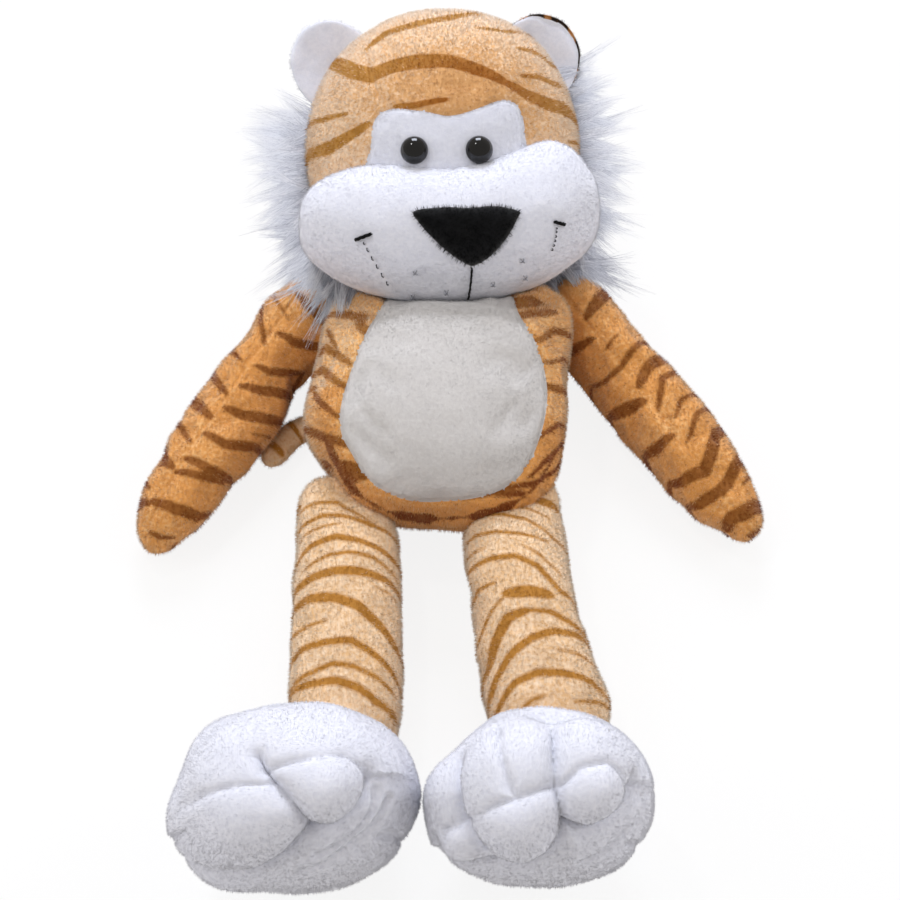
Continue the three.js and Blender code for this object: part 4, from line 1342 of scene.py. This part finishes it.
tail_skin, t, turn = tail_form()
rows = [(w, [(math.radians(a) * tail_half_width, y) for a, y in line]) for w, line in stripes["tail"]]
tail_marks = stripe_share(np.stack([np.abs(turn) * tail_half_width, t * tail_length], axis=1), rows)
face_outwards(tail_skin)
store(tail_skin, "stripe", tail_marks)
store(tail_skin, "warm", np.full(len(t), 0.1))
press_flat(tail_skin)
print("tail", len(tail_skin.data.vertices), "points")

# %% [markdown]
# ## Ears
#
# An ear is two round panels sewn together at the rim and lightly stuffed, white in front and dark
# striped behind. It is a shallow bowl that faces forward, and its lower edge is sewn into the head.

# %% Ears
ear_place = {"left": head_place @ at(-40.3, 31.5, -2, 0, 0, 24), "right": head_place @ at(36, 33.5, 1, 0, 8, -24)}
ear_half_width, ear_half_height, ear_bowl, ear_half_thickness = 15.9, 18, 4.6, 3.1
ear_skins = {}


def ear_form(side):
    """A stuffed bowl with a thick soft rim."""
    made, ball = new_ball(f"ear_{side}_skin", 96, 64)
    bowl = ear_bowl * np.hypot(ball[:, 0], ball[:, 1]) ** 2
    thick = ear_half_thickness * (np.sign(ball[:, 2]) * np.abs(ball[:, 2]) ** 0.7)
    points = np.stack([ball[:, 0] * ear_half_width, ball[:, 1] * ear_half_height, bowl + thick + 0.6], axis=1)
    move_to(made, transformed(points, in_scene(ear_place[side])))
    return made


def ear_back(side):
    """How far behind the rim's seam each point of an ear lies. The right rim shows some of its back."""
    def depth_of(points):
        local = into(points, ear_place[side])
        radius = np.hypot(local[:, 0] / ear_half_width, local[:, 1] / ear_half_height)
        turn = np.degrees(np.arctan2(local[:, 1], local[:, 0]))
        rolled = 1.6 * np.exp(-(((turn - 70) / 80) ** 4)) if side == "right" else -1
        return ear_bowl * radius**2 + 0.4 + rolled - local[:, 2]
    return depth_of


for number, side in enumerate(sides):
    skin = ear_form(side)
    ripple(skin, 9, 0.5, 40 + number)
    groove(skin, np.abs(ear_back(side)(coordinates(skin))), 0.5, 0.6)
    local = into(coordinates(skin), ear_place[side])
    bars = np.sin(local[:, 0] * 0.62 + 0.9 * np.sin(local[:, 1] * 0.35 + number))
    store(skin, "stripe", np.clip(bars * 1.6 + 1.5, 0, 1))
    back_skin = cut_out(skin, f"ear_back_{side}_skin", ear_back(side))
    ear_skins[side] = (skin, back_skin)
    print("ear", side, len(skin.data.vertices), "and", len(back_skin.data.vertices), "points")

# %% [markdown]
# ## Neck
#
# The head's opening is sewn to the body's. The seam is hidden while the chin rests on the chest. A
# short sleeve of the same plush joins the two.

# %% Neck
neck = dict(length=56, root=0.5, half_width=33, half_depth=21, start=2.6, end=2.6, widths=[1, 1], depths=[1, 1])
neck_skin = form("neck_skin", neck, at(1.5, 66, 27, 12, 0, -2), inset=0, segments=48, rings=32)
press_flat(neck_skin, 0.4)
print("neck", len(neck_skin.data.vertices), "points")

# %% [markdown]
# ## Eyes
#
# Each eye is a glossy black dome on a stem that passes through the cloth. Its gloss makes the two
# sharp highlights that give the face its look.

# %% Eyes
def gloss(name, code, roughness):
    """Polished hard plastic."""
    made, tree = new_material(name)
    plastic = add(tree, "ShaderNodeBsdfPrincipled", {}, {
        "Base Color": linear(code), "Roughness": roughness, "Coat Weight": 0.25, "Coat Roughness": 0.03,
        "Specular IOR Level": 0.35})
    add(tree, "ShaderNodeOutputMaterial", links={"Surface": plastic.outputs[0]})
    return made


def seat(tree_there, place, x, y):
    """Where a line down a place's Z meets a surface, with the surface's normal, in millimetres."""
    start = in_scene(place) @ Vector((x, y, 90))
    way = in_scene(place).to_3x3() @ Vector((0, 0, -1))
    here, normal, _, _ = tree_there.ray_cast(start * MM, way)
    return np.array(here) / MM, np.array(normal)


eye_middle, eye_apart, eye_y = -1.5, 11.5, -9.5
dome, dome_foot = np.array([5, 5, 4.6]), 0.6
stem_size, stem_middle = np.array([1.5, 1.5, 4.4]), np.array([0, 0, -4.6])
eye_black = gloss("black_safety_eye_plastic", "040405", 0.07)
for side, sign in zip(sides, (-1, 1)):
    here, normal = seat(head_tree, head_place, eye_middle + sign * eye_apart, eye_y)
    eye, ball = new_ball(f"eye_{side}_dome", 64, 32)
    points = ball * dome
    points[:, 2] = np.where(ball[:, 2] < 0, ball[:, 2] * dome_foot, points[:, 2])
    bpy.ops.mesh.primitive_cylinder_add(vertices=24, radius=1, depth=2)
    stem = bpy.context.object
    turned = Vector((0, 0, 1)).rotation_difference(Vector(normal)).to_matrix().to_4x4()
    stand = Matrix.Translation(here + normal * 0.3) @ turned
    move_to(eye, transformed(points, stand))
    move_to(stem, transformed(coordinates(stem) * MM * stem_size + stem_middle, stand))
    choose(eye)
    stem.select_set(True)
    bpy.ops.object.join()
    dress(eye, eye_black, "head", [f"eye_{side}"])
    bpy.ops.object.shade_smooth_by_angle(angle=math.radians(40))
washer_plastic = gloss("milky_washer_plastic", "dedcd6", 0.45)
for side in sides:
    bpy.data.objects[f"eye_washer_{side}"].material_slots[0].material = washer_plastic
print("eyes", 2 * dome[0], "mm wide,", 2 * eye_apart, "mm apart")

# %% [markdown]
# ## Nose
#
# The nose is a padded triangle of black plush, sewn down at its edge. Its pile hides the seam and gives
# it a ragged edge.

# %% Nose
nose_low, nose_height, nose_middle, nose_half_width = 16.2, 20.6, 4.2, 17.8
nose_shares = [(-1.1, 0.99), (-0.5, 1.03), (0, 0.99), (0.5, 1.0), (1, 0.89), (0.96, 0.74), (0.72, 0.42),
               (0.4, 0.14), (0.12, 0.01), (-0.06, 0), (-0.34, 0.14), (-0.68, 0.4), (-1, 0.74)]
nose_outline = [(nose_low - nose_height * y, nose_middle + nose_half_width * x) for x, y in nose_shares]


def on_muzzle(x, y):
    """A place on the muzzle, given down and across it, with the cloth's normal. It may lie under the chin."""
    along, width, depth, side = section(muzzle, (y + muzzle["length"] / 2) / muzzle["length"])
    height = depth * math.sqrt(max(0.0, 1 - ((x - side) / width) ** 2))
    here, normal, _, _ = muzzle_tree.find_nearest(in_scene(muzzle_place) @ Vector((x, y, height)) * MM)
    return np.array(here) / MM, np.array(normal)


def pad(name, outline, spacing, puff):
    """A padded panel on the muzzle: a fine grid inside an outline, lifted away from its edge."""
    rim = smooth_outline(outline, 5)
    columns, lines = (np.arange(low, high, spacing) for low, high in zip(rim.min(axis=0), rim.max(axis=0)))
    grid = np.stack(np.meshgrid(columns, lines), axis=-1).reshape(-1, 2)
    grid = grid[inside_outline(grid, rim) > spacing * 0.6]
    flat = [Vector(p) for p in np.vstack([rim, grid])]
    edges = [(i, (i + 1) % len(rim)) for i in range(len(rim))]
    flat, _, faces, _, _, _ = delaunay_2d_cdt(flat, edges, [], 1, 1e-5)
    flat = np.array([tuple(p) for p in flat])
    lift = puff * (1 - np.exp(-np.maximum(inside_outline(flat, rim), 0) / 1.4)) - 0.3
    seats = [on_muzzle(x, y) for x, y in flat]
    points = np.array([here + normal * up for (here, normal), up in zip(seats, lift)])
    made = mesh_from(name, points, np.array([tuple(f) for f in faces]), [], np.zeros(len(faces)))
    face_outwards(made)
    return made


nose_skin = pad("nose_skin", nose_outline, 0.9, 2.4)
facing = np.array([f.normal for f in nose_skin.data.polygons]).mean(axis=0) @ on_muzzle(5, 4.4)[1]
if facing < 0:
    nose_skin.data.flip_normals()
apply_modifier(nose_skin, "SOLIDIFY", thickness=1 * MM, offset=-1)
print("nose", len(nose_skin.data.vertices), "points")

# %% [markdown]
# ## Embroidery
#
# The mouth is a row of black backstitches. The smile is grey running stitch, the cheek marks are short
# black bars and the whisker marks are grey crosses. A stitch is a few twisted strands that rise out of
# the cloth and dive back in.

# %% Threads
twist, thread_sides = 1.2, 6


def tube_faces(rings, around, first=0):
    """Triangles along the sides of a tube that is given as rings of points."""
    faces = []
    for i in range(rings - 1):
        for j in range(around):
            a, b = first + i * around + j, first + i * around + (j + 1) % around
            faces += [(a, b, b + around), (a, b + around, a + around)]
    return faces


def cord(route, normals, radius, strands):
    """Rings of points for the strands of one stitch, which thin out at its ends."""
    run = unit(np.gradient(route, axis=0))
    aside = unit(np.cross(run, normals))
    above = np.cross(aside, run)
    count = len(route)
    t = np.linspace(0, 1, count)
    slim = np.clip(np.sin(np.pi * np.clip(t, 0.02, 0.98)) * 4, 0.15, 1)
    angles = np.linspace(0, 2 * np.pi, thread_sides, endpoint=False)[:, None]
    points, faces = [], []
    for k in range(strands):
        turn = twist * t * 2 * np.pi + 2 * np.pi * k / strands
        middle = route + (aside * np.cos(turn)[:, None] + above * np.sin(turn)[:, None]) * (radius * 0.55)
        first = len(points) * thread_sides
        for i in range(count):
            ring = np.cos(angles) * aside[i] + np.sin(angles) * above[i]
            points.append(middle[i] + ring * (radius * 0.62) * slim[i])
        faces += tube_faces(count, thread_sides, first)
        last = first + (count - 1) * thread_sides
        for j in range(1, thread_sides - 1):
            faces += [(first, first + j + 1, first + j), (last, last + j, last + j + 1)]
    return np.concatenate(points), np.array(faces)


def sew(name, stitches, radius, material, nodes, strands=2, rise=0.5):
    """Stitches on the muzzle, each given by its ends as (down, across)."""
    points, faces, total = [], [], 0
    for start, end in stitches:
        t = np.linspace(0, 1, 9)
        flat = np.array(start) + t[:, None] * (np.array(end) - np.array(start))
        seats = [on_muzzle(x, y) for x, y in flat]
        normals = np.array([normal for _, normal in seats])
        height = -0.5 + (0.5 + rise + 0.5) * np.sin(np.pi * t) ** 0.4
        route = np.array([here for here, _ in seats]) + normals * height[:, None]
        more, more_faces = cord(route, normals, radius, strands)
        points.append(more)
        faces.append(more_faces + total)
        total += len(more)
    faces = np.concatenate(faces)
    made = mesh_from(name, np.concatenate(points), faces, [material], np.zeros(len(faces)))
    choose(made)
    bpy.ops.object.shade_smooth()
    dress(made, None, "head", nodes)


def split(route, number, share):
    """A route cut into a number of stitches, each as long as a share of its step."""
    t0 = np.arange(number) / number
    return [(tuple(a), tuple(b)) for a, b in zip(along_route(route, t0), along_route(route, t0 + share / number))]


black_thread = fibre("black_embroidery_thread", "08080a", 0.1)
grey_thread = fibre("dark_grey_embroidery_thread", "3c3f46", 0.1)
pale_thread = fibre("pale_grey_embroidery_thread", "83868e", 0.1)
mouth_route = [(16.6, 4.1), (21, 3.8), (25.8, 3.2)]
sew("mouth_stitches", split(mouth_route, 5, 1.04), 0.42, black_thread, ["mouth_stitch"])
smiles = {"left": [(5.2, -33.4), (13, -29.4), (20.4, -24.6)], "right": [(4, 35.4), (8, 34.8), (12, 33.4)]}
bars = {"left": [((4.2, -36.6), (2.6, -30.2))], "right": [((2, 34.4), (2.8, 38.8))]}
whiskers = {"left": [(17.2, -15.8), (23.8, -4.6), (24, -16.4)], "right": [(15, 22.6), (22, 12), (20, 24)]}
for side in sides:
    sew(f"smile_{side}_stitches", split(smiles[side], 6, 0.5), 0.22, grey_thread,
        [f"smile_stitch_{side}"], rise=0.3)
    sew(f"cheek_bar_{side}_stitches", bars[side], 0.62, black_thread,
        [f"cheek_bar_{side}"], strands=3, rise=0.7)
    for number, (x, y) in enumerate(whiskers[side]):
        cross = [((x - 0.7, y - 0.9), (x + 0.7, y + 0.9)), ((x - 0.8, y + 0.6), (x + 0.6, y - 0.8))]
        sew(f"whisker_{side}_{number + 1}_stitches", cross, 0.17, pale_thread,
            [f"whisker_knot_{side}_{number + 1}"], rise=0.25)

# %% [markdown]
# ## Ruffs
#
# A strip of long white fur is sewn in along each side of the head. The hairs stand in locks that taper
# to a point, and hang a little towards the floor. A tuft of shorter locks lies over each shoulder.

# %% Ruffs
ruff_lines = {
    "left": [(48, 14, -2), (50, 4, -2), (50, -10, -2), (48, -26, 0), (43, -42, 4), (33, -55, 10)],
    "right": [(44, 30, -4), (49, 14, -2), (50, -4, -2), (49, -22, -2), (45, -38, 0), (38, -50, 4)],
}
ruff_turns = {"left": [22, 10, -2, -18, -44, -72], "right": [30, 14, 0, -14, -34, -58]}
long_locks, hairs_in_lock, hair_radius = 170, 26, 0.13
tuft_locks = {"left": 80, "right": 24}


def hairs(name, side, seed):
    """Long hairs in locks, from the root line outwards. A tuft of them hangs over the shoulder."""
    rng = np.random.default_rng(seed)
    tuft = tuft_locks[side]
    share = np.concatenate([rng.random(long_locks) ** 0.85, rng.uniform(0.72, 1, tuft)])
    in_front = np.repeat([0.0, 1.0], [long_locks, tuft])
    locks = long_locks + tuft
    root = along_route(ruff_lines[side], share) + rng.normal(0, 1, (locks, 3)) * np.array([1.2, 1.5, 4.2])
    root[:, 2] += 8 * in_front
    turn = np.radians(share_at(ruff_turns[side], share) + rng.normal(0, 13, locks))
    rise = np.clip(rng.normal(-0.08, 0.35, locks), -0.45, 1) + 0.35 * in_front
    way = unit(np.stack([np.cos(turn), np.sin(turn), rise], axis=1))
    length = rng.uniform(15, 23, locks) * (1 + 0.25 * (share > 0.7)) * (1 - 0.3 * in_front)
    count = locks * hairs_in_lock
    owner = np.repeat(np.arange(locks), hairs_in_lock)
    spread = rng.normal(0, 1.5, (count, 3))
    own = length[owner] * rng.uniform(0.62, 1.06, count)
    bend = np.clip(rng.normal(0, 0.19, (locks, 3)), -0.35, 0.35)[owner] + rng.normal(0, 0.05, (count, 3))
    phase, wave = rng.random(count) * 6.3, rng.normal(0, 0.35, (count, 3))
    steps = np.linspace(0, 1, 6)
    rings = []
    for s in steps:
        curl = wave * np.sin(phase + s * 5)[:, None] * s
        middle = root[owner] + way[owner] * (own * s)[:, None] + bend * (own * s * s)[:, None]
        rings.append(middle + spread * (1 - 0.86 * s) + curl)
    path = np.stack(rings, axis=1)
    path[:, :, 0] *= -1 if side == "left" else 1
    path = transformed(path.reshape(-1, 3), in_scene(head_place)).reshape(count, len(steps), 3)
    fall = 3.2 * steps**2 * rng.uniform(0.4, 1.5, count)[:, None]
    path[:, :, 2] = np.maximum(path[:, :, 2] - fall, 0.3)
    return strand_mesh(name, path, rng)


def strand_mesh(name, path, rng):
    """Thin three-sided strands that taper along their paths."""
    count, steps = path.shape[:2]
    run = unit(np.gradient(path, axis=1))
    aside = unit(np.cross(run, rng.normal(0, 1, (count, 1, 3))))
    slim = hair_radius * (1 - 0.8 * np.linspace(0, 1, steps) ** 1.5)
    rings = [path + way * slim[None, :, None] for way in three_ways(aside, np.cross(run, aside))]
    points = np.stack(rings, axis=2).reshape(-1, 3)
    last = (steps - 1) * 3
    pattern = np.array(tube_faces(steps, 3) + [(0, 2, 1), (last, last + 1, last + 2)])
    faces = (np.arange(count)[:, None, None] * steps * 3 + pattern).reshape(-1, 3)
    # Painted shade: the lowest hairs of a ruff get the darkest tones and each hair is paler towards its tip,
    # in place of the shadows that the hairs don't cast.
    depth = np.argsort(np.argsort(path[:, 2, 2])) / count * 1.6 + rng.normal(0, 0.5, count)
    along = np.append(np.repeat(np.arange(steps - 1), 6), [0, steps - 2]) * 0.45
    tone = np.clip(np.round(depth[:, None] + along), 0, len(fur_tones_and_painted_shade) - 1).astype(int).ravel()
    across = np.cross(run, np.cross(rng.normal(0, 0.25, (count, 1, 3)) + [0, 0, 1], run))
    up = np.array([0, 0.35, 0.9]) + across * 0.5
    made = mesh_from(name, points, faces, fur_tones_and_painted_shade, tone, np.repeat(up.reshape(-1, 3), 3, axis=0))
    made.visible_shadow = False
    return made


for number, side in enumerate(sides):
    locks = hairs(f"ruff_{side}_locks", side, 50 + number)
    dress(locks, None, "head", [f"ruff_{side}"])
    print("ruff", side, len(locks.data.polygons), "faces")

# %% [markdown]
# ## Dressing
#
# Each skin gets its cloth and rides on its body. Where cloth is sewn across a joint, the cloth and its
# pile stay fixed where they were made.

# %% Joints that cloth crosses
def metres(x, y, z):
    """A point given in the toy's own millimetres, in the scene's metres."""
    return tuple((Vector((x, y, z)) + offset) * MM)


# The body that the cloth comes from, and where it starts and ends its bend.
joints = {
    "arm_left": ("torso", metres(-48, 57, 20), metres(-59, 37, 20)),
    "arm_right": ("torso", metres(53, 57, 20), metres(66, 37, 20)),
    "leg_left": ("torso", metres(-30, -26, 20), metres(-30, -54, 20)),
    "leg_right": ("torso", metres(25, -26, 20), metres(26, -54, 20)),
    "foot_left": ("leg_left", metres(-29, -114, 20), metres(-30, -136, 20)),
    "foot_right": ("leg_right", metres(42, -114, 20), metres(40, -136, 20)),
    "tail": ("torso", metres(-12, -1, 4), metres(-22, 8, 4)),
    "neck": ("torso", metres(1.5, 62, 27), metres(1.5, 74, 27)),
}


def beside_seam(away_of, width=0.45):
    """A rule that leaves a bare line along a seam. away_of gives the distance from it."""
    return lambda roots: np.abs(away_of(roots)) < width


def toe_lines_away(side):
    """Distance from the clefts and seams of a foot's toes."""
    rows = creases[side]
    lines = rows["cleft"] + rows["seam"] + rows["under"]
    return lambda roots: near_lines(into(roots, foot_place[side]), lines)


def under_stitches(roots):
    """Whether a root lies under a stitch or the nose, where the pile is pressed down."""
    local = into(roots, muzzle_place)[:, [0, 1]]
    lines = [mouth_route, *smiles.values(), *bars["left"], *bars["right"]]
    for x, y in whiskers["left"] + whiskers["right"]:
        lines.append([(x - 0.5, y), (x + 0.5, y)])
    under_nose = inside_outline(local, smooth_outline(nose_outline)) > 0.3
    return (near_lines(local, lines) < 0.75) | under_nose


# %% Head and nose
def clothe(skin, cloth, pile, body, slot_name, nodes, seed, fill=None, joint=None, name=None, **look):
    """A skin's cloth and the pile on it. The pile takes the skin's name, where it has none of its own."""
    dress(skin, cloth, body, nodes, joint)
    grow(name or skin.name.replace("_skin", "_pile"), skin, pile, body, slot_name, seed, joint=joint, **look)


flat_nap = dict(lean=0.3, grain=0.03)
short_nap = dict(density=2.8, length=0.8, **flat_nap)
clothe(head_skin, head_plush, head_pile, "head", "tiger_plush", ["head_cover", "head_filling"], 11, fill=0.8,
       nap=(0, -0.6, -0.6), print_tints=tan_pile, inside=[muzzle_tree, body_tree], bare=beside_seam(crown_away))
clothe(patch_skin, white_plush, white_pile, "head", "white_plush", ["eye_patch"], 12,
       nap=(0, -0.8, 0), length=0.9, inside=[muzzle_tree], **flat_nap)
clothe(muzzle_skin, white_plush, white_pile, "head", "white_plush", ["muzzle_cover", "muzzle_filling"], 13,
       fill=0.8, nap=(0, -0.7, 0), inside=[head_tree], bare=under_stitches, **short_nap)
clothe(nose_skin, black_plush, black_pile, "head", "nose_plush", ["nose"], 16,
       nap=(0, -0.3, 0), density=3.2, length=1.5, lean=0.4)
dress(neck_skin, peach_plush, "head", joint=joints["neck"])

# %% Body and tail
clothe(body_skin, peach_plush, peach_pile, "torso", "tiger_plush", ["body_cover", "body_filling"], 14, fill=0.7,
       print_tints=brown_pile, inside=[muzzle_tree, head_tree])
clothe(belly_skin, cream_plush, cream_pile, "torso", "cream_plush", ["belly_panel"], 15, name="belly_pile",
       nap=(0, -0.8, 0), inside=[muzzle_tree], **short_nap)
# Painted light: the tail wears the paler leg plush, which lightens it against the shade that the body and arm cast
# on it.
clothe(tail_skin, leg_plush, leg_pile, "tail", "tiger_plush", ["tail_cover", "tail_filling"], 17, fill=0.5,
       joint=joints["tail"], print_tints=gold_pile, inside=[body_tree])

# %% Ears, limbs and feet
for number, side in enumerate(sides):
    front, back_skin = ear_skins[side]
    clothe(front, white_plush, white_pile, "head", "white_plush", [f"ear_front_{side}"], 60 + number,
           name=f"ear_front_{side}_pile", nap=(0, 0.3, 0), inside=[head_tree], grain=0.03)
    clothe(back_skin, ear_plush, ear_pile, "head", "dark_striped_plush", [f"ear_back_{side}"], 62 + number,
           nap=(0, 0.3, 0), length=0.9, print_tints=dark_pile, inside=[head_tree])
looks = {"arm": (peach_plush, peach_pile, brown_pile, "tiger_plush"),
         "leg": (leg_plush, leg_pile, gold_pile, "leg_plush")}
for number, (name, skin) in enumerate(limb_skins.items()):
    kind, side = name.split("_")
    cloth, pile, print_pile, slot_name = looks[kind]
    clothe(skin, cloth, pile, name, slot_name, [f"{kind}_cover_{side}", f"{kind}_filling_{side}"], 20 + number,
           fill=0.7, joint=joints[name], print_tints=print_pile,
           inside=[body_tree] if kind == "arm" else [body_tree, foot_trees[side]],
           bare=beside_seam(lambda roots: limb_seam_away(roots, name), 0.35))
for number, (side, skin) in enumerate(foot_skins.items()):
    clothe(skin, white_plush, white_pile, f"foot_{side}", "white_plush",
           [f"foot_upper_{side}", f"foot_sole_{side}", f"foot_filling_{side}"], 30 + number, fill=0.8,
           joint=joints[f"foot_{side}"], nap=(0, -0.7, -0.3), inside=[leg_trees[side]],
           bare=beside_seam(toe_lines_away(side), 0.4), **short_nap)
